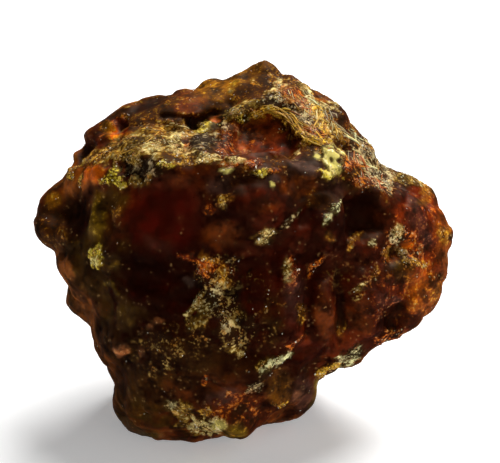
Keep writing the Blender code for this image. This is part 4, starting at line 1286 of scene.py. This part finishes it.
@dataclass(frozen=True)
class ResinFinish:
    """See-through resin under patches of crust.

    It absorbs by a density per metre, down to a colour. A filter tints the light that enters bare
    resin, and a gleam tints each gloss. The other colours are of grains, of the gaps between them,
    of stray dust and flecks, and of the painted shade in hollows. Sizes are in millimetres. The pairs
    say how high the pattern stands where grains begin and where they cover, the same for the
    brightest grains, and how low it lies where gaps are deepest and where they end.
    """

    refraction: float = 1.54
    transmission: float = 1.0
    absorbed: Colour = (0.84, 0.56, 0.06)
    density: float = 280.0
    filter: Colour = (0.9, 0.62, 0.35)
    resin_gleam: Colour = (0.70, 0.37, 0.17)
    crust_gleam: Colour = (1.0, 0.61, 0.29)
    orange_grain: Colour = (0.50, 0.16, 0.008)
    green_grain: Colour = (0.19, 0.11, 0.014)
    pale_grain: Colour = (0.90, 0.77, 0.36)
    gap: Colour = (0.030, 0.012, 0.003)
    dust: Colour = (0.90, 0.80, 0.42)
    fleck: Colour = (0.50, 0.30, 0.10)
    shadow: Colour = (0.006, 0.002, 0.001)
    hue_size: float = 1.9
    mottle_size: float = 1.5
    fine_size: float = 0.42
    wide_size: float = 3.0
    dust_size: float = 0.26
    lit: tuple[float, float] = (0.37, 0.82)
    bright: tuple[float, float] = (0.90, 1.30)
    deep: tuple[float, float] = (-0.05, 0.30)

    def material(self) -> bpy.types.Material:
        """The body's material: clear resin and crust, mixed by how opaque each place is.

        Returns:
            The material, which reads the fields that the body's points carry.
        """
        bench = Bench("copal_resin_and_crust")
        colour, speck = bench.field("tone_colour", "Color"), bench.field("speck_colour", "Color")
        opaque, grainy, rough = bench.field("opaque"), bench.field("grainy"), bench.field("rough")
        hue = bench.noise(self.hue_size, shift=7.0)
        mottle = bench.noise(self.mottle_size, 3.0, rough=0.55)
        fine = bench.noise(self.fine_size)
        wide = bench.noise(self.wide_size, 3.0)
        dust = bench.cells(self.dust_size)

        # the grains' own colours: three hues, the brightest palest, and shade that varies
        pattern = 0.5 + (mottle - 0.5) * 2.4 + (fine - 0.5) * 2.5 + (wide - 0.5) * 1.1
        pattern = pattern + (grainy - 0.5) * 1.1
        pale = bench.blend(0.4, speck, self.pale_grain)
        grain = bench.blend(hue.step(0.55, 0.64) * 0.5, speck, self.orange_grain)
        grain = bench.blend((1 - hue.step(0.38, 0.46)) * 0.5, grain, self.green_grain)
        grain = bench.blend(pattern.step(*self.bright) * 0.85, grain, pale)
        grain = bench.shaded(grain, 0.40 + bench.noise(0.9, 1.0, 3.0).step(0.34, 0.64) * 0.75)

        # the ground: its brightness swings with the noises, less so where it is pale
        swing = 0.45 + wide.step(0.36, 0.64) * 0.8 + (mottle - 0.5) * 1.3 + (fine - 0.5) * 1.1
        swing = swing.at_least(0.12 + bench.red(colour).step(0.35, 0.85) * 0.7)
        crust = bench.shaded(colour, swing)

        # grains, gaps, dust, flecks and shadow over the ground
        lit = pattern.step(*self.lit)
        crust = bench.blend(lit * grainy.step(0.02, 0.16), crust, grain)
        gaps = (1 - pattern.step(*self.deep)) * grainy.step(0.10, 0.35)
        crust = bench.blend(gaps * 0.5, crust, self.gap)
        crust = bench.blend(dust.step(0.93, 0.98) * grainy.step(0.3, 0.6) * 0.6, crust, self.dust)
        fleck = dust.step(0.955, 0.975) * hue.step(0.50, 0.60) * (1 - grainy.step(0.2, 0.5))
        crust = bench.blend(fleck * 0.6, crust, bench.blend(0.5, speck, self.fleck))
        # painted shade: the deeper a place lies below its surroundings, the more it darkens to the shadow
        # colour
        shadow = bench.field("hollow").step(0.10, 0.9) * (0.45 + grainy.step(0.1, 0.4) * 0.4)
        crust = bench.blend(shadow, crust, self.shadow)

        bare = (opaque + (wide - 0.5) * 0.6).step(0.0, 1.0)
        cover = bare.at_least(lit * grainy.step(0.05, 0.3))
        relief = mottle * 0.6 + fine * 0.3
        clear = bench.shader(
            {
                "Base Color": bench.blend(0.3, self.filter, colour),
                "Roughness": rough * 0.85 + wide * 0.12,
                "IOR": self.refraction,
                "Transmission Weight": self.transmission,
                "Specular IOR Level": 0.30,
                "Specular Tint": self.resin_gleam,
                "Normal": bench.bump(bench.noise(1.1, 3.0), 0.05),
            }
        )
        hidden = bench.shader(
            {
                "Base Color": crust,
                "Roughness": rough + (fine - 0.5) * 0.4,
                "IOR": 1.5,
                "Specular IOR Level": 0.13,
                "Specular Tint": self.crust_gleam,
                "Normal": bench.bump(relief * (0.08 + grainy.step(0.0, 0.4)), 0.22),
            }
        )
        surface = bench.node("ShaderNodeMixShader", None, {0: cover, 1: clear, 2: hidden})
        values = {"Color": self.absorbed, "Density": self.density}
        return bench.finish(surface, bench.node("ShaderNodeVolumeAbsorption", None, values))


@dataclass(frozen=True)
class FloorFinish:
    """A plain pale floor, lit a little from below, as a light table is."""

    colour: Colour = (0.90, 0.90, 0.89)
    mottle: Colour = (0.84, 0.84, 0.83)
    rough: float = 0.6
    glow: float = 0.32

    def material(self) -> bpy.types.Material:
        """Puts the floor's material together.

        Returns:
            The material.
        """
        bench = Bench("pale_floor")
        shade = bench.blend(bench.noise(60.0) * 0.1, self.colour, self.mottle)
        values = {"Base Color": shade, "Roughness": self.rough, "Emission Strength": self.glow}
        return bench.finish(bench.shader(values))


# ---------------------------------------------------------------- pieces


@dataclass
class Skin:
    """The body's finished surface, on which the loose pieces are laid.

    Attributes:
        points: its points in the lump's own axes, in millimetres.
        normals: their normals.
        squares: four points to a square.
        rows: their colour, speck, opaque, grainy and rough.
        hollow: how far each lies below its surroundings.
    """

    points: Array
    normals: Array
    squares: Array
    rows: Array
    hollow: Array

    def scattered(self, count: int, chance: Array, seed: int) -> tuple[Array, Array, Array]:
        """Draws places on the surface: squares by area and chance, then anywhere inside them.

        A place lies on one of the two flat triangles that its square is shown as, parted from corner
        0 to corner 2, so that what is laid there touches the surface.

        Args:
            count: how many places.
            chance: how likely each point's surroundings are.
            seed: which of the many draws to use.

        Returns:
            The places, their normals and their rows.
        """
        draw = np.random.default_rng(seed)
        weight = np.linalg.norm(square_crosses(self.points, self.squares), axis=1)
        weight = weight * chance[self.squares].mean(axis=1)
        chosen = self.squares[draw.choice(len(self.squares), count, p=weight / weight.sum())]
        u, v = draw.random((2, count))
        corners = [1 - np.maximum(u, v), np.maximum(u - v, 0), np.minimum(u, v), np.maximum(v - u, 0)]
        shares = np.stack(corners, axis=1)[..., None]
        place = (self.points[chosen] * shares).sum(axis=1)
        normal = (self.normals[chosen] * shares).sum(axis=1)
        return place, unit(normal), (self.rows[chosen] * shares).sum(axis=1)

    def laid(self, flat: Array, eye: Eye) -> tuple[Array, Array]:
        """Lays places on the side that faces the eye: a mean of the nine nearest points.

        Args:
            flat: where they show from the eye, one row to a place.
            eye: the eye.

        Returns:
            The places on the surface and their normals.
        """
        seen = eye.seen(self.points)
        low, high = flat.min(axis=0) - 1.0, flat.max(axis=0) + 1.0
        facing = (self.normals[:, 2] > 0.05) & (self.points[:, 2] > -4.0)
        near = np.flatnonzero(facing & np.all((seen > low) & (seen < high), axis=1))
        away = np.sum((flat[:, None] - seen[near][None]) ** 2, axis=2)
        chosen = np.argpartition(away, 9, axis=1)[:, :9]
        share = 1 / (np.take_along_axis(away, chosen, axis=1) + 0.03)
        share = (share / share.sum(axis=1)[:, None])[..., None]
        normal = (self.normals[near[chosen]] * share).sum(axis=1)
        return (self.points[near[chosen]] * share).sum(axis=1), unit(normal)

    def crumb_chance(self) -> Array:
        """How likely a crumb is: in clumps, where the crust is grainy, and on what stands proud.

        Returns:
            A chance for each point, 0 or more.
        """
        clump = smooth_step((self.clumps() - 0.45) / 0.2)
        proud = smooth_step((0.25 - self.hollow) / 0.5)
        return np.clip(np.clip(self.rows[:, GRAINY], 0, 1) - 0.32, 0, 1) * clump * (0.15 + proud)

    def sand_chance(self) -> Array:
        """How likely sand is: in tighter clumps, and a little on bare resin too."""
        return (0.005 + np.clip(self.rows[:, GRAINY], 0, 1)) * smooth_step((self.clumps() - 0.60) / 0.15)

    def clumps(self) -> Array:
        """0 to 1: noise that gathers loose grains."""
        return np.clip(0.5 + smooth_noise(self.points, 1.5, Seed.CLUMP), 0, 1)


@dataclass
class CopalBody:
    """The whole lump, with its finest relief and its tones.

    The pairs are sizes, and how far they rise: of the finest resin beads, of the crust's grains,
    of the grit between them and of its sharp crests. Crust and calm mute the beads by a share. The
    rounds are of smoothing, for the calm stretches and for what a hollow is measured from, and a
    hollow of its full depth counts as 1. The skin is there once the body is built.
    """

    form: LumpForm
    weathering: Weathering
    cells: int = 128
    fine_bead: tuple[float, float] = (2.3, 0.22)
    grain: tuple[float, float] = (1.25, 0.26)
    grit: tuple[float, float] = (0.7, 0.20)
    crag: tuple[float, float] = (2.4, 0.22)
    calm_rounds: int = 160
    hollow_rounds: int = 14
    hollow_depth: float = 0.45
    crust_mutes: float = 0.6
    calm_mutes: float = 0.7
    skin: Skin = field(init=False)

    def build(self) -> bpy.types.Object:
        """Builds and dresses the body.

        Returns:
            The body's object.
        """
        directions, squares = BlownCube(self.cells).grids()
        points = self.form.shaped(directions, squares)
        normals = surface_normals(points, squares)
        calm = self.weathering.calm(points, normals)[:, None]
        points = points + calm * (smoothed(points, squares, self.calm_rounds) - points)
        normals = surface_normals(points, squares)
        rows, rise = self.weathering.lay(points, normals)
        grainy = rows[:, GRAINY]
        size, height = self.fine_bead
        beads = height * (bead_field(points, size, Seed.BEAD) - 0.5)
        relief = rise + beads * (1 - self.crust_mutes * grainy) * (1 - self.calm_mutes * calm[:, 0])
        for (size, height), seed in ((self.grain, Seed.GRAIN), (self.grit, Seed.GRIT)):
            relief += height * grainy * (bead_field(points, size, seed) - 0.5)
        size, height = self.crag
        relief += height * grainy * (ridged_noise(points, size, Seed.CRAG) - 0.4)
        points = points + relief[:, None] * normals
        around = smoothed(points, squares, self.hollow_rounds)
        hollow = np.sum((around - points) * normals, axis=1)
        metres = self.form.set_down(points)
        body = add_piece("copal_body", metres, squares)
        add_field(body, "tone_colour", rows[:, COLOUR])
        add_field(body, "speck_colour", rows[:, SPECK])
        add_field(body, "opaque", rows[:, OPAQUE])
        add_field(body, "grainy", grainy)
        add_field(body, "rough", rows[:, ROUGH])
        add_field(body, "hollow", np.clip(hollow / self.hollow_depth, -1, 1))
        body.data.materials.append(ResinFinish().material())
        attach(body, BODY)
        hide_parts(NODE)
        self.skin = Skin(points, surface_normals(points, squares), squares, rows, hollow)
        return body


@dataclass(frozen=True)
class GrainFinish:
    """Opaque grains or strands, each of its own colour, by their roughness and gloss."""

    name: str
    rough: float
    gloss: float

    def material(self) -> bpy.types.Material:
        """Puts the material together.

        Returns:
            The material, which reads the colour that each grain or strand carries.
        """
        bench = Bench(self.name)
        colour = bench.field("grain_colour", "Color")
        values = {
            "Base Color": bench.shaded(colour, 0.6 + bench.noise(0.3) * 0.8),
            "Roughness": self.rough * (0.7 + bench.noise(0.5) * 0.6),
            "IOR": 1.5,
            "Specular IOR Level": self.gloss,
        }
        return bench.finish(bench.shader(values))


@dataclass
class CrustGrains:
    """Loose angular grains, each a squashed and jittered icosahedron sunk into the body.

    `chance` says how likely a grain is at each of the skin's points, `sizes` are the smallest and
    the largest radius, and `pale` is the share that is nearly white: pale crumbs on the crust, and
    painted glints among the sand, where white grains stand in for highlights. The pairs in `squash`
    and `bright` are the least, and what chance adds. Grains are sunk by a share of their radius.
    """

    name: str
    skin: Skin
    chance: Array
    count: int
    sizes: tuple[float, float]
    seed: int
    pale: float
    finish: bpy.types.Material
    squash: Pairs = ((0.8, 0.6), (0.6, 0.5), (0.55, 0.4))
    sunk: float = 0.15
    white: Colour = (0.95, 0.90, 0.72)
    rust: Colour = (0.42, 0.13, 0.02)
    unrusted: float = 0.86
    bright: tuple[float, float] = (0.55, 0.7)

    def icosahedron(self) -> tuple[Array, Array]:
        """A regular icosahedron: a golden rectangle's corners, with its axes in three orders.

        Returns:
            Its 12 corners, 1 from its middle, and its 20 faces, each of 3 near corners.
        """
        gold = (1 + math.sqrt(5)) / 2
        rectangle = np.array([(0, -1, -gold), (0, -1, gold), (0, 1, -gold), (0, 1, gold)])
        corners = np.concatenate([np.roll(rectangle, -way, axis=1) for way in range(3)])
        corners = corners / math.hypot(1, gold)
        near = np.linalg.norm(corners[:, None] - corners[None], axis=2) < 1.1
        i, j, k = np.array(list(combinations(range(len(corners)), 3))).T
        faces = np.stack([i, j, k], axis=1)[near[i, j] & near[j, k] & near[i, k]]
        trio = corners[faces]
        outward = np.cross(trio[:, 1] - trio[:, 0], trio[:, 2] - trio[:, 0])
        inside_out = np.sum(outward * trio[:, 0], axis=1) < 0
        faces[inside_out] = faces[inside_out][:, ::-1]
        return corners, faces

    def build(self) -> bpy.types.Object:
        """Builds every grain at once.

        Returns:
            The grains' object.
        """
        draw = np.random.default_rng(self.seed)
        place, normal, rows = self.skin.scattered(self.count, self.chance, self.seed)
        corners, faces = self.icosahedron()
        side = unit(np.cross(normal, draw.normal(size=(self.count, 3))))
        axes = np.stack([side, np.cross(normal, side), normal], axis=1)
        low, high = self.sizes
        radius = low + (high - low) * draw.random(self.count) ** 2.2
        squash = [least + more * draw.random(self.count) for least, more in self.squash]
        reach = radius[:, None] * np.stack(squash, axis=1)
        jitter = corners[None] * (0.75 + 0.5 * draw.random((self.count, len(corners), 1)))
        turned = jitter @ self.turns(draw)
        points = np.einsum("gci,gi,gij->gcj", turned, reach, axes) + place[:, None]
        points -= (self.sunk * radius)[:, None, None] * normal[:, None]
        starts = len(corners) * np.arange(self.count)[:, None, None]
        metres = LumpForm().set_down(points.reshape(-1, 3))
        grains = add_piece(self.name, metres, (faces[None] + starts).reshape(-1, 3))
        grains.data.shade_flat()
        colours = self.colours(rows, draw)
        add_field(grains, "grain_colour", np.repeat(colours, len(corners), axis=0))
        grains.data.materials.append(self.finish)
        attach(grains, BODY)
        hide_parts(NODE)
        return grains

    def turns(self, draw: np.random.Generator) -> Array:
        """A random turn for each grain, from evenly drawn quaternions.

        Args:
            draw: where chance comes from.

        Returns:
            Three rows of three numbers for each grain.
        """
        four = draw.normal(size=(4, self.count))
        w, x, y, z = four / np.linalg.norm(four, axis=0)
        rows = [
            [1 - 2 * (y * y + z * z), 2 * (x * y - z * w), 2 * (x * z + y * w)],
            [2 * (x * y + z * w), 1 - 2 * (x * x + z * z), 2 * (y * z - x * w)],
            [2 * (x * z - y * w), 2 * (y * z + x * w), 1 - 2 * (x * x + y * y)],
        ]
        return np.moveaxis(np.array(rows), 2, 0)

    def colours(self, rows: Array, draw: np.random.Generator) -> Array:
        """Each grain's colour lies between its place's two colours; some are pale or rusty.

        Args:
            rows: what the surface is made of under each grain.
            draw: where chance comes from.

        Returns:
            One colour for each grain.
        """
        one_each = (self.count, 1)
        colour = between(rows[:, COLOUR], rows[:, SPECK], draw.random(one_each) ** 0.7)
        colour = colour * (self.bright[0] + self.bright[1] * draw.random(one_each))
        # nearly white grains: among the sand these are painted glints
        pale = (draw.random(one_each) < self.pale) * 0.85
        colour = between(colour, np.array([self.white]), pale)
        rusty = (draw.random(one_each) > self.unrusted) * 0.7
        return between(colour, np.array([self.rust]), rusty)


@dataclass(frozen=True)
class Bundle:
    """Strands of plant fibre that run side by side along a line, as it shows from the eye.

    They spread to either side of it, and each is of one of the tones.
    """

    line: Pairs
    spread: float
    count: int
    tones: tuple[Tone, ...]


BUNDLES = (
    Bundle(
        ((0.8, 20.4), (3.4, 21), (5.4, 20.4), (7, 18.9), (8.3, 17.4), (10, 16.4), (12, 16.3)),
        0.55, 40, (GOLD, HONEY),
    ),
    Bundle(((5, 20.9), (7.2, 20), (8.8, 18.6), (10.6, 17.4), (12.2, 17.2)), 0.5, 22, (AMBER, TAN, GOLD)),
    Bundle(((9.6, 22.4), (10.6, 20.6), (11.4, 18.9), (12.2, 17.4)), 1, 26, (GOLD, AMBER, CREAM)),
    Bundle(((12.2, 21.4), (12.9, 19.6), (13.6, 17.6), (13.8, 15.4)), 0.9, 20, (TAN, ASH, CREAM)),
    Bundle(((5, 23.8), (6.6, 22.8), (8.4, 21.6), (9.8, 20.2)), 0.9, 26, (RUST, TAN, CREAM)),
    Bundle(((8.2, 24.4), (9, 23), (10.4, 21.9), (12.6, 21.2), (14, 20.6)), 0.35, 16, (CREAM, FROST)),
    Bundle(((14.6, 18.4), (16.4, 16), (18.6, 13.4), (21, 11.4)), 1.1, 44, (ASH, CREAM, FROST)),
    Bundle(((14.8, 15.4), (16.4, 13.2), (18.8, 11), (21.2, 9.6)), 1, 26, (RUST, AMBER, ASH)),
    Bundle(((-20.5, 14.4), (-16, 16.4), (-11.5, 17.6), (-8.2, 18)), 1, 9, (LICHEN, TAN)),
    Bundle(((-12, 18.6), (-9.6, 18.8), (-8, 18.4), (-6.4, 17.8)), 0.3, 8, (CREAM, TAN)),
)


@dataclass
class BarkFibres:
    """Thin strands half sunk into the crust.

    The pairs are the thinnest and the thickest radius, the shortest and the longest strand as a
    share of its line, and the least brightness and what chance adds. `stations` are the rings of
    one strand, and its ends stray by a share of its bundle's spread.
    """

    skin: Skin
    eye: Eye
    bundles: tuple[Bundle, ...]
    radii: tuple[float, float] = (0.06, 0.16)
    lengths: tuple[float, float] = (0.10, 0.34)
    sides: int = 6
    stations: int = 14
    waver: float = 0.05
    stray: float = 0.9
    rounds: int = 4
    bright: tuple[float, float] = (0.45, 0.75)

    def routes(self, bundle: Bundle, draw: np.random.Generator) -> Array:
        """Each strand takes a share of its bundle's line, shifted to one side and wavering.

        Args:
            bundle: the bundle.
            draw: where chance comes from.

        Returns:
            Across and up for each station of each strand.
        """
        one_each = (bundle.count, 1)
        corners = np.array(bundle.line)
        runs = np.linalg.norm(np.diff(corners, axis=0), axis=1)
        passed = np.concatenate([[0.0], np.cumsum(runs)])
        share = self.lengths[0] + (self.lengths[1] - self.lengths[0]) * draw.random(one_each)
        t = (1 - share) * draw.random(one_each) + share * np.linspace(0, 1, self.stations)
        ways = [np.clip(t + step, 0, 1) * passed[-1] for step in (-0.06, -0.02, 0.02, 0.06)]
        path = np.mean([[np.interp(way, passed, axis) for axis in corners.T] for way in ways], axis=0)
        run = np.gradient(path, axis=2)
        run /= np.linalg.norm(run, axis=0) + 1e-6
        wave = self.waver * np.sin(2 * math.pi * (draw.random(one_each) + t * 3))
        aside = bundle.spread * (2 * draw.random(one_each) - 1) + wave
        stray = self.stray * bundle.spread * draw.normal(size=one_each)
        aside = aside + stray * np.linspace(-0.5, 0.5, self.stations)
        return np.stack([path[0] - aside * run[1], path[1] + aside * run[0]], axis=2)

    def tubes(self, bundle: Bundle, draw: np.random.Generator) -> tuple[Array, Array]:
        """Rings round each route: the radius times cosine to the side and sine along the normal.

        Args:
            bundle: the bundle.
            draw: where chance comes from.

        Returns:
            The points of every strand, ring by ring, and the colour of each point.
        """
        routes = self.routes(bundle, draw)
        place, normal = self.skin.laid(routes.reshape(-1, 2), self.eye)
        place, normal = place.reshape(*routes.shape[:2], 3), normal.reshape(*routes.shape[:2], 3)
        for _ in range(self.rounds):
            place[:, 1:-1] = (place[:, :-2] + 2 * place[:, 1:-1] + place[:, 2:]) / 4
        one_each = (bundle.count, 1)
        side = unit(np.cross(normal, np.gradient(place, axis=1)), 1e-9)
        radius = self.radii[0] + (self.radii[1] - self.radii[0]) * draw.random(one_each) ** 1.6
        radius = radius * (0.12 + 0.88 * np.sin(np.linspace(0, math.pi, self.stations)) ** 0.5)
        turn = np.arange(self.sides) * 2 * math.pi / self.sides
        reach = radius[..., None, None]
        rings = place[:, :, None] + reach * np.cos(turn)[:, None] * side[:, :, None]
        rings = rings + reach * (0.8 * np.sin(turn)[:, None] + 0.15) * normal[:, :, None]
        table = np.array([tone.row for tone in bundle.tones])
        rows = table[draw.integers(len(table), size=bundle.count)]
        colour = between(rows[:, COLOUR], rows[:, SPECK], draw.random(one_each) ** 0.35)
        colour = colour * (self.bright[0] + self.bright[1] * draw.random(one_each))
        colour = np.repeat(colour, self.stations * self.sides, axis=0)
        return rings.reshape(bundle.count, -1, 3), colour

    def strand_faces(self) -> Array:
        """Two triangles for each side between rings, and a fan that closes each end.

        Returns:
            Three of one strand's points to a face.
        """
        ring, side = np.meshgrid(np.arange(self.stations - 1), np.arange(self.sides), indexing="ij")
        here = (ring * self.sides + side).ravel()
        after = (ring * self.sides + (side + 1) % self.sides).ravel()
        sides = [[here, after, after + self.sides], [here, after + self.sides, here + self.sides]]
        fan = np.arange(1, self.sides - 1)
        last = (self.stations - 1) * self.sides
        first_cap = np.stack([np.zeros_like(fan), fan + 1, fan], axis=1)
        last_cap = np.stack([np.full_like(fan, last), last + fan, last + fan + 1], axis=1)
        return np.concatenate([np.stack(trio, axis=1) for trio in sides] + [first_cap, last_cap])

    def build(self) -> bpy.types.Object:
        """Builds every strand.

        Returns:
            The fibres' object.
        """
        draw = np.random.default_rng(Seed.STRANDS)
        made = [self.tubes(bundle, draw) for bundle in self.bundles]
        points = np.concatenate([rings for rings, _ in made])
        colours = np.concatenate([colour for _, colour in made])
        faces = self.strand_faces()[None] + points.shape[1] * np.arange(len(points))[:, None, None]
        metres = LumpForm().set_down(points.reshape(-1, 3))
        fibres = add_piece("bark_fibres", metres, faces.reshape(-1, 3))
        add_field(fibres, "grain_colour", colours)
        fibres.data.materials.append(GrainFinish("bark_fibre", 0.5, 0.4).material())
        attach(fibres, BODY)
        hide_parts(NODE)
        return fibres


# ---------------------------------------------------------------- studio


@dataclass
class Studio:
    """A pale floor, soft light from above and behind, and a camera square to the broad face.

    The lens and its sensor are in millimetres, and half the floor's width is in metres.
    """

    form: LumpForm
    eye: Eye
    lens: float = 165.0
    sensor: float = 36.0
    reach: float = 3.0
    sky: Colour = (0.93, 0.96, 1.0)

    def floor(self) -> bpy.types.Object:
        """A square of floor, of which the corners are in order round it.

        Returns:
            The floor's object.
        """
        corners = self.reach * np.array([(-1, -1, 0), (1, -1, 0), (1, 1, 0), (-1, 1, 0)])
        floor = add_piece("pale_floor", corners, np.array([[0, 1, 2, 3]]))
        floor.data.materials.append(FloorFinish().material())
        floor.visible_glossy = False
        return floor

    def lamp(
        self,
        name: str,
        source: tuple[float, float, float],
        angle: float,
        strength: float,
        mirrored: bool = True,
    ) -> None:
        """A far, wide lamp, which lights the floor evenly.

        Args:
            name: its name.
            source: the way to it from the lump.
            angle: how wide it looks, in degrees.
            strength: its strength.
            mirrored: whether it shows in a glossy surface.
        """
        light = bpy.data.lights.new(name, "SUN")
        light.angle = math.radians(angle)
        light.energy = strength
        lamp = bpy.data.objects.new(name, light)
        lamp.rotation_mode = "QUATERNION"
        lamp.rotation_quaternion = Vector(source).to_track_quat("Z", "Y")
        lamp.visible_glossy = mirrored
        bpy.context.scene.collection.objects.link(lamp)

    def world(self, strength: float) -> None:
        """A dim, even surround.

        Args:
            strength: its strength.
        """
        world = bpy.data.worlds.new("surround")
        world.use_nodes = True
        backdrop = world.node_tree.nodes["Background"]
        backdrop.inputs["Color"].default_value = (*self.sky, 1.0)
        backdrop.inputs["Strength"].default_value = strength
        bpy.context.scene.world = world

    def camera(self) -> None:
        """A long lens on the line out of the broad face."""
        sine, cosine = math.sin(self.form.lean), math.cos(self.form.lean)
        out = Vector((0.0, -cosine, sine))
        up = Vector((0.0, sine, cosine))
        middle = Vector((*self.form.middle_offset, self.form.middle_height))
        lens = bpy.data.cameras.new("camera")
        lens.lens = self.lens
        lens.sensor_width = self.sensor
        lens.clip_start = 0.01
        camera = bpy.data.objects.new("camera", lens)
        place = middle + Vector((self.eye.across, 0, 0)) + up * self.eye.up + out * self.eye.near
        camera.location = place * MM
        camera.rotation_mode = "QUATERNION"
        camera.rotation_quaternion = (-out).to_track_quat("-Z", "Y")
        bpy.context.scene.collection.objects.link(camera)
        bpy.context.scene.camera = camera

    def set_up(self) -> None:
        """Sets up the floor, the light and the camera."""
        self.floor()
        self.lamp("soft_top_light", (0.30, 0.42, 0.86), 38.0, 4.6)
        self.lamp("soft_right_fill", (0.7, -0.5, 0.6), 60.0, 0.7, mirrored=False)
        self.world(0.03)
        self.camera()
        bpy.context.scene.view_settings.view_transform = "Standard"


def main() -> None:
    """Builds every piece in order."""
    logging.basicConfig(level=logging.INFO, format="%(name)s: %(message)s")
    form, eye = LumpForm(), Eye()
    Studio(form, eye).set_up()
    log.info("studio set up")
    maker = CopalBody(form, Weathering(eye, GROUNDS, PATCHES + VEINS))
    pieces = [maker.build()]
    skin = maker.skin
    crumb = GrainFinish("crust_grain", 0.55, 0.35).material()
    glint = GrainFinish("sand_grain", 0.12, 1.0).material()
    for name, chance, count, sizes, seed, pale, finish in (
        ("crust_grains", skin.crumb_chance(), 6500, (0.07, 0.20), Seed.CRUMBS, 0.03, crumb),
        # the sand's nearly white grains are painted glints
        ("sand_grains", skin.sand_chance(), 4600, (0.05, 0.12), Seed.SAND, 0.09, glint),
    ):
        pieces.append(CrustGrains(name, skin, chance, count, sizes, seed, pale, finish).build())
    pieces.append(BarkFibres(skin, eye, BUNDLES).build())
    for piece in pieces:
        log.info("%s: %d faces", piece.name, len(piece.data.polygons))


if __name__ == "__main__":
    main()
